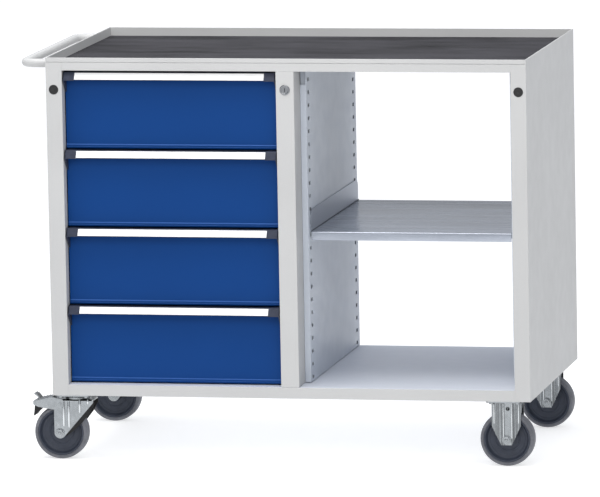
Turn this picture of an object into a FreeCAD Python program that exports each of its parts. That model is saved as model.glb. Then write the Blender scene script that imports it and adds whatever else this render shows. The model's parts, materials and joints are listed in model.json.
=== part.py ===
"""Mobile workbench with four drawers, an open compartment with one shelf, and four casters.

The frame: origin on the floor in the middle of the overall footprint, +X to the right,
+Y to the back (the drawers open towards -Y) and +Z up. Lengths are in millimetres.
Cabinet coordinates, used below, start at the cabinet's left face, front face and the floor.
"""
import FreeCAD
import Part
import os
from types import SimpleNamespace

import Sketcher
from FreeCAD import Vector

DRIVING_DIMENSIONS = {
    # cabinet
    "cabinet_width": 1120, "cabinet_depth": 650, "cabinet_height": 940,
    "caster_height": 155, "sheet": 1.5,
    "left_post": 38, "right_post": 36, "post_return": 28, "deep_return": 70,
    "middle_post_left": 540, "middle_post": 42, "rear_flange": 25,
    "lip_height": 10, "seam": 1, "top_rail_height": 18.5, "top_rail_return": 25,
    "floor_level": 181, "base_channel_width": 110, "base_channel_wall": 3,
    "tray_depth": 20, "mat_thickness": 3, "rear_rail_drop": 30,
    # push handle and hole plugs
    "handle_tube": 20, "handle_wall": 1.5, "handle_reach": 66, "handle_drop": 19,
    "handle_inset": 57, "handle_bend": 38,
    "plug_radius": 11.25, "plug_stem_radius": 9, "plug_inset": 18.5, "plug_level": 866,
    # open compartment
    "lining_step": 14, "lining_gap": 1.5, "slot_pitch": 30, "slot_width": 16, "slot_height": 8,
    "relief_notch": 38, "doubler_depth": 5, "doubler_overlap": 6,
    "slot_first": 11, "front_slot_inset": 26, "rear_slot_inset": 33,
    "shelf_top": 531, "shelf_front": 86, "shelf_rear_gap": 5, "shelf_side_gap": 0.8,
    "shelf_flange": 20, "shelf_upstand": 50, "upstand_radius": 20,
    "clip_reach": 10, "clip_half_width": 8, "clip_drop": 7.5,
    # drawers
    "drawer_pitch": 181, "first_front_level": 184, "front_recess": 30, "front_side_gap": 1.5,
    "front_height": 176, "front_sheet": 1.2, "front_return": 15,
    "bead_proud": 1.5, "bead_height": 10.5, "bead_slope": 2.5,
    "grip_height": 18.5, "grip_over_front": 3, "grip_slope": 10, "grip_wall": 2, "grip_back": 20,
    "cap_width": 27, "cheek_drop": 30, "cheek_wall": 3,
    "box_sheet": 1.2, "box_bottom": 10, "box_height": 130, "box_depth": 594, "slide_space": 13,
    "catch_level": 100, "catch_height": 12, "catch_front": 60, "catch_sheet": 3, "catch_reach": 9,
    # telescopic slides
    "slide_length": 580, "slide_front": 52, "slide_height": 45, "slide_level": 62, "slide_sheet": 1.2,
    "middle_near": 2.5, "middle_far": 10.5, "middle_web": 5.6, "slide_lip": 8, "slide_bracket": 25,
    # lock
    "lock_level": 868, "lock_rim_radius": 12, "lock_barrel_radius": 9.5, "lock_core_radius": 8,
    "lock_proud": 2, "lock_length": 28, "cam_radius": 9.9, "cam_pin_radius": 2.5,
    "lock_bar_front": 36, "lock_bar_back": 56, "lock_bar_low": 270, "lock_bar_sheet": 3,
    "lock_arm_front": 38, "lock_arm_height": 20, "finger_front": 52, "finger_height": 8,
    "finger_over_catch": 16, "window_front": 50, "window_back": 58, "window_level": 96, "window_height": 32,
    # casters
    "wheel_radius": 62.5, "wheel_width": 38, "rim_radius": 54, "axle_radius": 5, "running_clearance": 0.05,
    "swivel_inset": 46, "fixed_inset": 62.5, "caster_depth_inset": 54, "trail": 38,
    "plate_width": 85, "plate_depth": 105, "plate_wall": 3, "bolt_spacing_across": 60,
    "bolt_spacing_deep": 80, "bolt_radius": 4, "bolt_hole_radius": 4.5, "bolt_head": 7,
    "fork_gap": 43, "fork_wall": 2.5, "fork_boss_radius": 13.5, "kingpin_radius": 6,
    "kingpin_head_radius": 9, "kingpin_head": 3.5, "race_radius": 26, "race_depth": 4,
    "fork_race_radius": 28, "fork_race_depth": 6, "race_gap": 0.5, "crown_wall": 3.5,
    "rib_width": 4, "rib_proud": 0.8, "pedal_gap": 1.2, "pedal_wall": 2,
    "pedal_pivot_across": -36, "pedal_pivot_level": 131, "pedal_pin_radius": 3,
}
DRAWERS = (1, 2, 3, 4)
SLOTS_IN_A_COLUMN = 24

os.makedirs("parts", exist_ok=True)
doc = FreeCAD.newDocument("mobile_workbench")
sheet = doc.addObject("Spreadsheet::Sheet", "dims")
cuts = []
nodes = []


class Size:
    """A length that keeps its value together with the sheet expression it comes from."""

    def __init__(self, value, text):
        self.value = float(value)
        self.text = text

    def __add__(self, other):
        other = size(other)
        return Size(self.value + other.value, f"({self.text} + {other.text})")

    def __sub__(self, other):
        other = size(other)
        return Size(self.value - other.value, f"({self.text} - {other.text})")

    def __mul__(self, other):
        other = size(other)
        return Size(self.value * other.value, f"({self.text} * {other.text})")

    def __truediv__(self, other):
        other = size(other)
        return Size(self.value / other.value, f"({self.text} / {other.text})")

    def __neg__(self):
        return Size(-self.value, f"(0 - {self.text})")

    def __radd__(self, other):
        return size(other) + self

    def __rsub__(self, other):
        return size(other) - self

    def __rmul__(self, other):
        return size(other) * self


def size(number):
    """The number as a Size; a Size passes through."""
    if isinstance(number, Size):
        return number
    text = str(number) if number >= 0 else f"(0 - {-number})"
    return Size(number, text)


def read_dimensions():
    """Fill the sheet and give every driving dimension as a Size."""
    for row, (name, value) in enumerate(DRIVING_DIMENSIONS.items(), start=1):
        sheet.set(f"A{row}", name)
        sheet.set(f"B{row}", str(value))
        sheet.setAlias(f"B{row}", name)
    doc.recompute()
    sizes = {name: Size(value, f"dims.{name}") for name, value in DRIVING_DIMENSIONS.items()}
    return SimpleNamespace(**sizes)


d = read_dimensions()

# Places that several pieces share, in cabinet coordinates.
LEFT_FACE = -(d.cabinet_width - d.handle_reach - d.handle_tube / 2) / 2
FRONT_FACE = -(d.cabinet_depth - d.lock_proud) / 2
RAIL_TOP = d.cabinet_height - d.lip_height - d.seam
OPENING_TOP = RAIL_TOP - d.top_rail_height
MIDDLE_RIGHT = d.middle_post_left + d.middle_post
RIGHT_POST_LEFT = d.cabinet_width - d.right_post
INNER_BACK = d.cabinet_depth - d.sheet
LINING_BACK = INNER_BACK - d.sheet
LINING_LEFT = MIDDLE_RIGHT + d.lining_step
LINING_RIGHT = RIGHT_POST_LEFT - d.lining_step
MAT_BOTTOM = d.cabinet_height - d.tray_depth - d.mat_thickness
TRAY_FLOOR = MAT_BOTTOM - d.sheet
HANDLE_LEVEL = d.cabinet_height - d.handle_drop
LOCK_ACROSS = d.middle_post_left + d.middle_post / 2
PLATE_BOTTOM = d.caster_height - d.plate_wall
FORK_OUT = d.fork_gap / 2 + d.fork_wall
FORK_RACE_TOP = PLATE_BOTTOM - d.race_depth - d.race_gap
CROWN_TOP = FORK_RACE_TOP - d.fork_race_depth
CROWN_LOW = CROWN_TOP - d.crown_wall


# ---------------------------------------------------------------- modelling helpers

def bind(target, path, length):
    target.setExpression(path, size(length).text)


def place(target, across, back, up):
    """Put a sub-part at a point given in cabinet coordinates."""
    bind(target, "Placement.Base.x", LEFT_FACE + across)
    bind(target, "Placement.Base.y", FRONT_FACE + back)
    bind(target, "Placement.Base.z", up)


def finish_node(label, target, across=0, back=0, up=0):
    """Name a finished sub-part, place it and keep it for export."""
    target.Label = label
    place(target, across, back, up)
    nodes.append(target)
    return target


def new_body(name):
    return doc.addObject("PartDesign::Body", name)


def origin_feature(body, role):
    return next(f for f in body.Origin.OriginFeatures if f.Role == role)


def bind_point(sketch, line, corner):
    for kind, length in zip(("DistanceX", "DistanceY"), corner):
        length = size(length)
        index = sketch.addConstraint(Sketcher.Constraint(kind, -1, 1, line, 1, length.value))
        sketch.setExpression(f"Constraints[{index}]", length.text)


def draw_polygon(sketch, corners):
    first = sketch.GeometryCount
    count = len(corners)
    points = [Vector(size(x).value, size(y).value, 0) for x, y in corners]
    for i in range(count):
        sketch.addGeometry(Part.LineSegment(points[i], points[(i + 1) % count]), False)
    for i in range(count):
        sketch.addConstraint(Sketcher.Constraint("Coincident", first + i, 2, first + (i + 1) % count, 1))
    for i, corner in enumerate(corners):
        bind_point(sketch, first + i, corner)


def draw_circle(sketch, x, y, radius):
    x, y, radius = size(x), size(y), size(radius)
    circle = Part.Circle(Vector(x.value, y.value, 0), Vector(0, 0, 1), radius.value)
    line = sketch.addGeometry(circle, False)
    for kind, length in (("DistanceX", x), ("DistanceY", y)):
        index = sketch.addConstraint(Sketcher.Constraint(kind, -1, 1, line, 3, length.value))
        sketch.setExpression(f"Constraints[{index}]", length.text)
    index = sketch.addConstraint(Sketcher.Constraint("Radius", line, radius.value))
    sketch.setExpression(f"Constraints[{index}]", radius.text)


def rectangle(x0, y0, x1, y1):
    return [(x0, y0), (x1, y0), (x1, y1), (x0, y1)]


def add_sketch(body, plane, start, outlines):
    """A sketch on an origin plane moved to start; an outline is a list of corners or (x, y, radius)."""
    sketch = body.newObject("Sketcher::SketchObject", "outline")
    sketch.AttachmentSupport = (origin_feature(body, plane + "_Plane"), [""])
    sketch.MapMode = "FlatFace"
    offset = -size(start) if plane == "XZ" else size(start)
    bind(sketch, "AttachmentOffset.Base.z", offset)
    for outline in outlines:
        if isinstance(outline, tuple):
            draw_circle(sketch, *outline)
        else:
            draw_polygon(sketch, outline)
    return sketch


def pad(body, plane, outlines, start, end):
    """Material between start and end along the plane's axis."""
    feature = body.newObject("PartDesign::Pad", "pad")
    feature.Profile = add_sketch(body, plane, start, outlines)
    feature.Reversed = plane == "XZ"
    bind(feature, "Length", size(end) - start)
    return feature


def pocket(body, plane, outlines, start, end):
    """Material removed between start and end along the plane's axis."""
    base = body.Tip
    feature = body.newObject("PartDesign::Pocket", "pocket")
    feature.Profile = add_sketch(body, plane, start, outlines)
    feature.Reversed = plane != "XZ"
    bind(feature, "Length", size(end) - start)
    cuts.append((feature, base))
    return feature


def revolve(body, plane, outline, axis):
    """A full turn of the outline about the sketch's own H_Axis or V_Axis."""
    feature = body.newObject("PartDesign::Revolution", "turned")
    sketch = add_sketch(body, plane, 0, [outline])
    feature.Profile = sketch
    feature.ReferenceAxis = (sketch, [axis])
    feature.Angle = 360
    return feature


def round_edges(body, radius, chosen):
    """Round the edges of the body's tip whose middle point satisfies chosen(x, y, z)."""
    doc.recompute()
    base = body.Tip
    names = []
    for number, edge in enumerate(base.Shape.Edges, start=1):
        middle = edge.valueAt((edge.FirstParameter + edge.LastParameter) / 2)
        if chosen(middle.x, middle.y, middle.z):
            names.append(f"Edge{number}")
    feature = body.newObject("PartDesign::Fillet", "rounding")
    feature.Base = (base, names)
    bind(feature, "Radius", radius)
    return feature


def block(low, high):
    """A Part::Box between two corners."""
    box = doc.addObject("Part::Box", "block")
    for prop, axis, a, b in zip(("Length", "Width", "Height"), "xyz", low, high):
        bind(box, prop, size(b) - a)
        bind(box, f"Placement.Base.{axis}", a)
    return box


def bar_along_y(x, z, radius, start, end):
    """A Part::Cylinder whose axis runs along Y."""
    bar = doc.addObject("Part::Cylinder", "bar")
    bar.Placement.Rotation = FreeCAD.Rotation(Vector(1, 0, 0), -90)
    bind(bar, "Radius", radius)
    bind(bar, "Height", size(end) - start)
    for axis, length in zip("xyz", (x, start, z)):
        bind(bar, f"Placement.Base.{axis}", length)
    return bar


def hexagon(x, y, z, radius, height, along_y=False):
    """A Part::Prism with six sides, standing on Z or lying along Y."""
    nut = doc.addObject("Part::Prism", "hexagon")
    nut.Polygon = 6
    if along_y:
        nut.Placement.Rotation = FreeCAD.Rotation(Vector(1, 0, 0), -90)
    bind(nut, "Circumradius", radius)
    bind(nut, "Height", height)
    for axis, length in zip("xyz", (x, y, z)):
        bind(nut, f"Placement.Base.{axis}", length)
    return nut


def rod(x, y, z, radius, height):
    """A Part::Cylinder standing on Z."""
    shank = doc.addObject("Part::Cylinder", "rod")
    bind(shank, "Radius", radius)
    bind(shank, "Height", height)
    for axis, length in zip("xyz", (x, y, z)):
        bind(shank, f"Placement.Base.{axis}", length)
    return shank


def fused(pieces):
    fusion = doc.addObject("Part::MultiFuse", "fused")
    fusion.Shapes = pieces
    return fusion


def group(pieces):
    """Separate solids in one node."""
    compound = doc.addObject("Part::Compound", "group")
    compound.Links = pieces
    return compound


# ---------------------------------------------------------------- cabinet

def side_panel(label, wall_out, wall_in, post_in, post_back, hole_across, return_depth, flange_in):
    """A folded side: front post with its return, wall, and a flange at the rear."""
    body = new_body(label)
    outline = [(wall_out, 0), (post_in, 0), (post_in, return_depth), (post_back, return_depth),
               (post_back, d.sheet), (wall_in, d.sheet), (wall_in, INNER_BACK),
               (flange_in, INNER_BACK), (flange_in, d.cabinet_depth), (wall_out, d.cabinet_depth)]
    pad(body, "XY", [outline], d.caster_height, d.cabinet_height)
    pocket(body, "XY", [rectangle(wall_in, 0, post_in, return_depth)], RAIL_TOP, d.cabinet_height)
    post_edge = [rectangle(post_back, d.sheet, post_in, return_depth)]
    pocket(body, "XY", post_edge, d.caster_height, d.floor_level)
    pocket(body, "XY", post_edge, TRAY_FLOOR, RAIL_TOP)
    pocket(body, "XZ", [(hole_across, d.plug_level, d.plug_stem_radius)], 0, d.sheet)
    corner = wall_out.value
    round_edges(body, d.sheet, lambda x, y, z: abs(x - corner) < 0.1 and abs(y) < 0.1 and z > 200)
    finish_node(label, body)


def side_panels():
    side_panel("left_side_panel", size(0), d.sheet, d.left_post, d.left_post - d.sheet,
               d.plug_inset, d.post_return, d.rear_flange)
    width = d.cabinet_width
    side_panel("right_side_panel", width, width - d.sheet, RIGHT_POST_LEFT, RIGHT_POST_LEFT + d.sheet,
               width - d.plug_inset, d.deep_return, width - d.rear_flange)


def centre_partition():
    """The middle post: a folded channel whose long wall closes the drawer bay."""
    body = new_body("centre_partition")
    left = d.middle_post_left
    outline = [(left, 0), (MIDDLE_RIGHT, 0), (MIDDLE_RIGHT, d.deep_return),
               (MIDDLE_RIGHT - d.sheet, d.deep_return), (MIDDLE_RIGHT - d.sheet, d.sheet),
               (left + d.sheet, d.sheet), (left + d.sheet, LINING_BACK), (left, LINING_BACK)]
    pad(body, "XY", [outline], d.floor_level, OPENING_TOP)
    pocket(body, "XZ", [(LOCK_ACROSS, d.lock_level, d.lock_barrel_radius)], 0, d.sheet)
    windows = []
    for number in DRAWERS:
        low = front_level(number) + d.window_level
        windows.append(rectangle(d.window_front, low, d.window_back, low + d.window_height))
    pocket(body, "YZ", windows, left, left + d.sheet)
    finish_node("centre_partition", body)


def slotted_lining(name, face, back_of_face, post_side, wall):
    """A lining folded out to the wall at the rear, with two columns of slots for the shelf clips."""
    body = new_body(name)
    front, rear = d.deep_return, LINING_BACK - d.sheet
    outline = [(post_side, front), (face, front), (face, LINING_BACK), (wall, LINING_BACK),
               (wall, rear), (back_of_face, rear), (back_of_face, front + d.sheet),
               (post_side, front + d.sheet)]
    pad(body, "XY", [outline], d.floor_level + d.lining_gap, OPENING_TOP)
    slots = []
    for middle in (front + d.front_slot_inset, INNER_BACK - d.rear_slot_inset):
        low = d.floor_level + d.slot_first - d.slot_height / 2
        near, far = middle - d.slot_width / 2, middle + d.slot_width / 2
        slots.append(rectangle(near, low, far, low + d.slot_height))
    start = back_of_face if back_of_face.value < face.value else face
    first_pair = pocket(body, "YZ", slots, start, start + d.sheet)
    doc.recompute()
    column = body.newObject("PartDesign::LinearPattern", "columns")
    column.Originals = [first_pair]
    column.Direction = (origin_feature(body, "Z_Axis"), [""])
    column.Occurrences = SLOTS_IN_A_COLUMN
    bind(column, "Length", d.slot_pitch * (SLOTS_IN_A_COLUMN - 1))
    body.Tip = column
    cuts.append((column, first_pair))
    relief_low = OPENING_TOP - d.relief_notch
    relief = rectangle(post_side, relief_low, back_of_face, OPENING_TOP)
    pocket(body, "XZ", [relief], front, front + d.sheet)
    doubler_front = front + d.doubler_depth
    doubler = rectangle(post_side, doubler_front, back_of_face, doubler_front + d.sheet)
    pad(body, "XY", [doubler], relief_low - d.doubler_overlap, OPENING_TOP)
    return body


def slotted_linings():
    left = slotted_lining("lining_left", LINING_LEFT, LINING_LEFT - d.sheet, MIDDLE_RIGHT,
                          d.middle_post_left + d.sheet)
    right = slotted_lining("lining_right", LINING_RIGHT, LINING_RIGHT + d.sheet, RIGHT_POST_LEFT,
                           d.cabinet_width - d.sheet)
    finish_node("slotted_linings", group([left, right]))


def floor_panel():
    """The compartment floor, folded down as the bottom rail in front and behind."""
    body = new_body("floor_panel")
    low, top = d.caster_height, d.floor_level
    outline = [(0, low), (0, top), (INNER_BACK, top), (INNER_BACK, low), (INNER_BACK - d.sheet, low),
               (INNER_BACK - d.sheet, top - d.sheet), (d.sheet, top - d.sheet), (d.sheet, low)]
    pad(body, "YZ", [outline], d.left_post, RIGHT_POST_LEFT)
    round_edges(body, d.sheet * 0.9, lambda x, y, z: abs(y) < 0.1 and abs(z - top.value) < 0.1)
    finish_node("floor_panel", body)


def base_channels():
    """Two channels under the floor that the casters bolt to."""
    channels = []
    low, top, wall = d.caster_height, d.floor_level - d.sheet, d.base_channel_wall
    sides = ((d.sheet + 0.5, d.swivel_inset),
             (d.cabinet_width - d.sheet - 0.5 - d.base_channel_width, d.cabinet_width - d.fixed_inset))
    for left, caster in sides:
        right = left + d.base_channel_width
        body = new_body("channel")
        outline = [(left, low), (right, low), (right, top), (right - wall, top), (right - wall, low + wall),
                   (left + wall, low + wall), (left + wall, top), (left, top)]
        pad(body, "XZ", [outline], d.sheet + 0.5, INNER_BACK - d.sheet - 0.5)
        holes = [(caster + across, back, d.bolt_hole_radius)
                 for middle in (d.caster_depth_inset, d.cabinet_depth - d.caster_depth_inset)
                 for across, back in bolt_places(middle)]
        pocket(body, "XY", holes, low, low + wall)
        channels.append(body)
    finish_node("base_channels", group(channels))


def bolt_places(middle):
    """The four bolt positions of one caster plate: across from its centre, and back."""
    return [(d.bolt_spacing_across * i / 2, middle + d.bolt_spacing_deep * j / 2)
            for i in (-1, 1) for j in (-1, 1)]


def worktop_tray():
    """The worktop: a tray with a low rim, a lip in front and a rail behind."""
    left, right = d.sheet, d.cabinet_width - d.sheet
    front, back, top = d.sheet, INNER_BACK, d.cabinet_height
    deck = block((left, front, TRAY_FLOOR), (right, back, MAT_BOTTOM))
    left_wall = block((left, front, TRAY_FLOOR), (left + d.sheet, back, top))
    right_wall = block((right - d.sheet, front, TRAY_FLOOR), (right, back, top))
    front_wall = block((left, front, TRAY_FLOOR), (right, front + d.sheet, top))
    rear_wall = block((left, back - d.sheet, TRAY_FLOOR - d.rear_rail_drop), (right, back, top))
    lip = block((left, 0, top - d.lip_height), (right, front, top))
    finish_node("worktop_tray", fused([deck, left_wall, right_wall, front_wall, rear_wall, lip]))


def top_front_rail():
    """The rail over the drawers and the compartment, folded back along its lower edge."""
    body = new_body("top_front_rail")
    outline = [(0, OPENING_TOP), (d.top_rail_return, OPENING_TOP), (d.top_rail_return, OPENING_TOP + d.sheet),
               (d.sheet, OPENING_TOP + d.sheet), (d.sheet, RAIL_TOP), (0, RAIL_TOP)]
    pad(body, "YZ", [outline], d.left_post, RIGHT_POST_LEFT)
    finish_node("top_front_rail", body)


def rubber_mat():
    gap = 2 * d.sheet + 0.5
    far_corner = (d.cabinet_width - gap, d.cabinet_depth - gap, MAT_BOTTOM + d.mat_thickness)
    finish_node("rubber_mat", group([block((gap, gap, MAT_BOTTOM), far_corner)]))


def drawer_bay_back_panel():
    panel = block((d.sheet, LINING_BACK - d.sheet, d.floor_level),
                  (d.middle_post_left, LINING_BACK, TRAY_FLOOR - d.rear_rail_drop - 1))
    finish_node("drawer_bay_back_panel", group([panel]))


def push_handle():
    """A bent tube welded to the left side at both ends."""
    body = new_body("push_handle")
    reach, bend, near = d.handle_reach, d.handle_bend, d.handle_inset
    far = d.cabinet_depth - d.handle_inset
    corners = [(0, near), (bend - reach, near), (-reach, near + bend),
               (-reach, far - bend), (bend - reach, far), (0, far)]
    points = [Vector(size(x).value, size(y).value, 0) for x, y in corners]
    route = body.newObject("Sketcher::SketchObject", "route")
    route.AttachmentSupport = (origin_feature(body, "XY_Plane"), [""])
    route.MapMode = "FlatFace"
    bind(route, "AttachmentOffset.Base.z", HANDLE_LEVEL)
    for start in (0, 2, 4):
        route.addGeometry(Part.LineSegment(points[start], points[start + 1]), False)
    lean = bend.value * 0.5 ** 0.5
    for start, side in ((1, 1), (3, -1)):
        centre = Vector(bend.value - reach.value, points[2 if side == 1 else 3].y, 0)
        middle = centre + Vector(-lean, -side * lean, 0)
        route.addGeometry(Part.Arc(points[start], middle, points[start + 1]), False)
    for line, (start, end) in enumerate(((0, 1), (2, 3), (4, 5))):
        for vertex, corner in ((1, corners[start]), (2, corners[end])):
            for kind, length in zip(("DistanceX", "DistanceY"), corner):
                length = size(length)
                index = route.addConstraint(Sketcher.Constraint(kind, -1, 1, line, vertex, length.value))
                route.setExpression(f"Constraints[{index}]", length.text)
    ring = add_sketch(body, "YZ", 0, [(near, HANDLE_LEVEL, d.handle_tube / 2),
                                      (near, HANDLE_LEVEL, d.handle_tube / 2 - d.handle_wall)])
    doc.recompute()
    tube = body.newObject("PartDesign::AdditivePipe", "tube")
    tube.Profile = ring
    tube.Spine = (route, [f"Edge{n}" for n in range(1, 6)])
    finish_node("push_handle", body)


def post_hole_plugs():
    """Two push-in plugs that close the round holes of the outer posts."""
    plugs = []
    for across in (d.plug_inset, d.cabinet_width - d.plug_inset):
        head = bar_along_y(across, d.plug_level, d.plug_radius, -1, 0)
        stem = bar_along_y(across, d.plug_level, d.plug_stem_radius, 0, 8)
        plugs.append(fused([head, stem]))
    finish_node("post_hole_plugs", group(plugs))


# ---------------------------------------------------------------- open compartment

def adjustable_shelf():
    """A galvanised shelf with a folded front and rear edge and an upstand at each side."""
    body = new_body("adjustable_shelf")
    left, right = LINING_LEFT + d.shelf_side_gap, LINING_RIGHT - d.shelf_side_gap
    front, back = d.shelf_front, d.cabinet_depth - d.shelf_rear_gap
    top, low = d.shelf_top, d.shelf_top - d.shelf_flange
    deck = [(front, low), (front, top), (back, top), (back, low), (back - d.sheet, low),
            (back - d.sheet, top - d.sheet), (front + d.sheet, top - d.sheet), (front + d.sheet, low)]
    pad(body, "YZ", [deck], left, right)
    upstand = rectangle(front + 2, top - d.sheet, back, top + d.shelf_upstand)
    pad(body, "YZ", [upstand], left, left + d.sheet)
    pad(body, "YZ", [upstand], right - d.sheet, right)
    crest, nose, tail = (top + d.shelf_upstand).value, (front + 2).value, back.value
    round_edges(body, d.upstand_radius,
                lambda x, y, z: abs(z - crest) < 0.1 and min(abs(y - nose), abs(y - tail)) < 0.1)
    finish_node("adjustable_shelf", body)


def shelf_clips():
    """Four clips: a tongue through the lining's slot and a ledge under the shelf."""
    clips = []
    ledge_top = d.shelf_top - d.sheet
    slot_middle = ledge_top - d.clip_drop
    wide = d.clip_half_width
    for middle in (d.deep_return + d.front_slot_inset, INNER_BACK - d.rear_slot_inset):
        for face, side in ((LINING_LEFT, 1), (LINING_RIGHT, -1)):
            inner, outer = face + d.clip_reach * side, face - 4 * side
            low_x, high_x = (face, inner) if side == 1 else (inner, face)
            tongue_low, tongue_high = (outer, face) if side == 1 else (face, outer)
            ledge = block((low_x, middle - wide, slot_middle - 3), (high_x, middle + wide, ledge_top))
            tongue = block((tongue_low, middle + 1 - wide, slot_middle - 3),
                           (tongue_high, middle - 1 + wide, slot_middle + 3))
            clips.append(fused([ledge, tongue]))
    finish_node("shelf_clips", group(clips))


# ---------------------------------------------------------------- drawers

def front_level(number):
    """Height of the bottom edge of a drawer's front; drawer 1 is the lowest."""
    return d.first_front_level + d.drawer_pitch * (number - 1)


FRONT_LEFT = d.left_post + d.front_side_gap
FRONT_RIGHT = d.middle_post_left - d.front_side_gap
BOX_LEFT = d.left_post + d.slide_space
BOX_RIGHT = d.middle_post_left - d.slide_space


def drawer_front(number):
    """A folded front with a bead along its lower edge; heights count from its bottom edge."""
    body = new_body("front")
    face, top, skin = d.front_recess, d.front_height, d.front_sheet
    back, proud = face + d.front_return, face - d.bead_proud
    section = [(face, 0), (proud, d.bead_slope), (proud, d.bead_height - d.bead_slope),
               (face, d.bead_height), (face, top), (back, top), (back, top - skin),
               (face + skin, top - skin), (face + skin, skin), (back, skin), (back, 0)]
    pad(body, "YZ", [section], FRONT_LEFT, FRONT_RIGHT)
    side = rectangle(face, 0, back, top)
    pad(body, "YZ", [side], FRONT_LEFT, FRONT_LEFT + skin)
    pad(body, "YZ", [side], FRONT_RIGHT - skin, FRONT_RIGHT)
    finish_node(f"drawer_{number}_front", body, 0, 0, front_level(number))


def drawer_box(number):
    """An open sheet-metal tray, with a catch for the lock bar on its right side."""
    skin = d.box_sheet
    front = d.front_recess + d.front_sheet
    back, low = front + d.box_depth, d.box_bottom
    top = low + d.box_height
    outer = block((BOX_LEFT, front, low), (BOX_RIGHT, back, top))
    inner = block((BOX_LEFT + skin, front + skin, low + skin), (BOX_RIGHT - skin, back - skin, top + 1))
    tray = doc.addObject("Part::Cut", "tray")
    tray.Base = outer
    tray.Tool = inner
    catch = block((BOX_RIGHT, d.catch_front, d.catch_level),
                  (BOX_RIGHT + d.catch_reach, d.catch_front + d.catch_sheet, d.catch_level + d.catch_height))
    finish_node(f"drawer_{number}_box", fused([tray, catch]), 0, 0, front_level(number))


def grip_section(front, low, top, wall, back_low):
    """The hooked section of the grip: a sloping face, a top and a back wall round a finger space."""
    face = d.front_recess
    slope = d.grip_slope
    return [(front, low), (front + slope, top), (face, top), (face, back_low), (face - wall, back_low),
            (face - wall, top - wall), (front + slope + wall / 2, top - wall), (front + wall * 1.2, low)]


def grip_rail(number):
    body = new_body("grip")
    top = d.front_height + d.grip_over_front - 0.5
    low = top - d.grip_height + 1
    section = grip_section(size(0.8), low, top, d.grip_wall, top - d.grip_back)
    pad(body, "YZ", [section], FRONT_LEFT + d.cap_width, FRONT_RIGHT - d.cap_width)
    finish_node(f"drawer_{number}_grip_rail", body, 0, 0, front_level(number))


def grip_end_caps(number):
    """Moulded ends of the grip with a cheek that runs down and back to the front."""
    caps = []
    top = d.front_height + d.grip_over_front
    low = top - d.grip_height - 0.5
    section = grip_section(size(0), low, top, d.grip_wall * 1.2, top - d.grip_back - 1)
    cheek = [(0, low), (d.grip_slope, top), (d.front_recess, top), (d.front_recess, low - d.cheek_drop)]
    ends = ((FRONT_LEFT, FRONT_LEFT + d.cheek_wall, FRONT_LEFT, FRONT_LEFT + d.cap_width),
            (FRONT_RIGHT - d.cheek_wall, FRONT_RIGHT, FRONT_RIGHT - d.cap_width, FRONT_RIGHT))
    for cheek_left, cheek_right, cap_left, cap_right in ends:
        body = new_body("cap")
        pad(body, "YZ", [section], cap_left, cap_right)
        pad(body, "YZ", [cheek], cheek_left, cheek_right)
        caps.append(body)
    finish_node(f"drawer_{number}_grip_end_caps", group(caps), 0, 0, front_level(number))


def channel_section(web, web_out, tip, half_height, skin):
    """A C section lying on its side; web, web_out and tip are places across."""
    low, high = -half_height, half_height
    return [(web, low), (tip, low), (tip, low + skin), (web_out, low + skin),
            (web_out, high - skin), (tip, high - skin), (tip, high), (web, high)]


def slide_member(section, with_brackets=False):
    body = new_body("member")
    pad(body, "XZ", [section], d.slide_front, d.slide_front + d.slide_length)
    if with_brackets:
        for start in (size(20), d.slide_length - 60):
            spacer = rectangle(d.sheet, -15, d.left_post, 15)
            place_back = d.slide_front + start
            pad(body, "XZ", [spacer], place_back, place_back + d.slide_bracket)
    return body


def slide_sides():
    """Where each side's slide starts, and which way it builds towards the drawer."""
    return ((d.left_post, 1), (d.middle_post_left, -1))


def slide_cabinet_members():
    """The fixed members; those on the left stand on brackets from the side panel."""
    members = []
    skin, half = d.slide_sheet, d.slide_height / 2
    for number in DRAWERS:
        for start, way in slide_sides():
            section = channel_section(start, start + skin * way, start + d.slide_lip * way, half, skin)
            member = slide_member(section, with_brackets=way == 1)
            bind(member, "Placement.Base.z", front_level(number) + d.slide_level)
            members.append(member)
    finish_node("slide_cabinet_members", group(members))


def slide_middle_members(number):
    """The middle members: back-to-back channels that run between the other two."""
    members = []
    skin, half = d.slide_sheet, d.slide_height / 2 - 5
    for start, way in slide_sides():
        near, far = start + d.middle_near * way, start + d.middle_far * way
        web, web_far = start + d.middle_web * way, start + (d.middle_web + skin) * way
        section = [(near, -half), (far, -half), (far, skin - half), (web_far, skin - half),
                   (web_far, half - skin), (far, half - skin), (far, half), (near, half),
                   (near, half - skin), (web, half - skin), (web, skin - half), (near, skin - half)]
        members.append(slide_member(section))
    level = front_level(number) + d.slide_level
    finish_node(f"drawer_{number}_slide_middle_members", group(members), 0, 0, level)


def slide_drawer_members(number):
    """The members fixed to the drawer's sides."""
    members = []
    skin, half = d.slide_sheet, d.slide_height / 2 - 11
    for start, way in slide_sides():
        web = start + d.slide_space * way
        section = channel_section(web, web - skin * way, web - 4.5 * way, half, skin)
        members.append(slide_member(section))
    level = front_level(number) + d.slide_level
    finish_node(f"drawer_{number}_slide_drawer_members", group(members), 0, 0, level)


# ---------------------------------------------------------------- central lock

def lock_housing():
    """The rim and barrel that the lock core turns in."""
    body = new_body("lock_housing")
    bore = d.lock_core_radius + d.running_clearance
    centre = (LOCK_ACROSS, d.lock_level)
    pad(body, "XZ", [(*centre, d.lock_rim_radius), (*centre, bore)], -d.lock_proud, 0)
    pad(body, "XZ", [(*centre, d.lock_barrel_radius), (*centre, bore)], 0, d.lock_length)
    finish_node("lock_housing", body)


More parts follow.
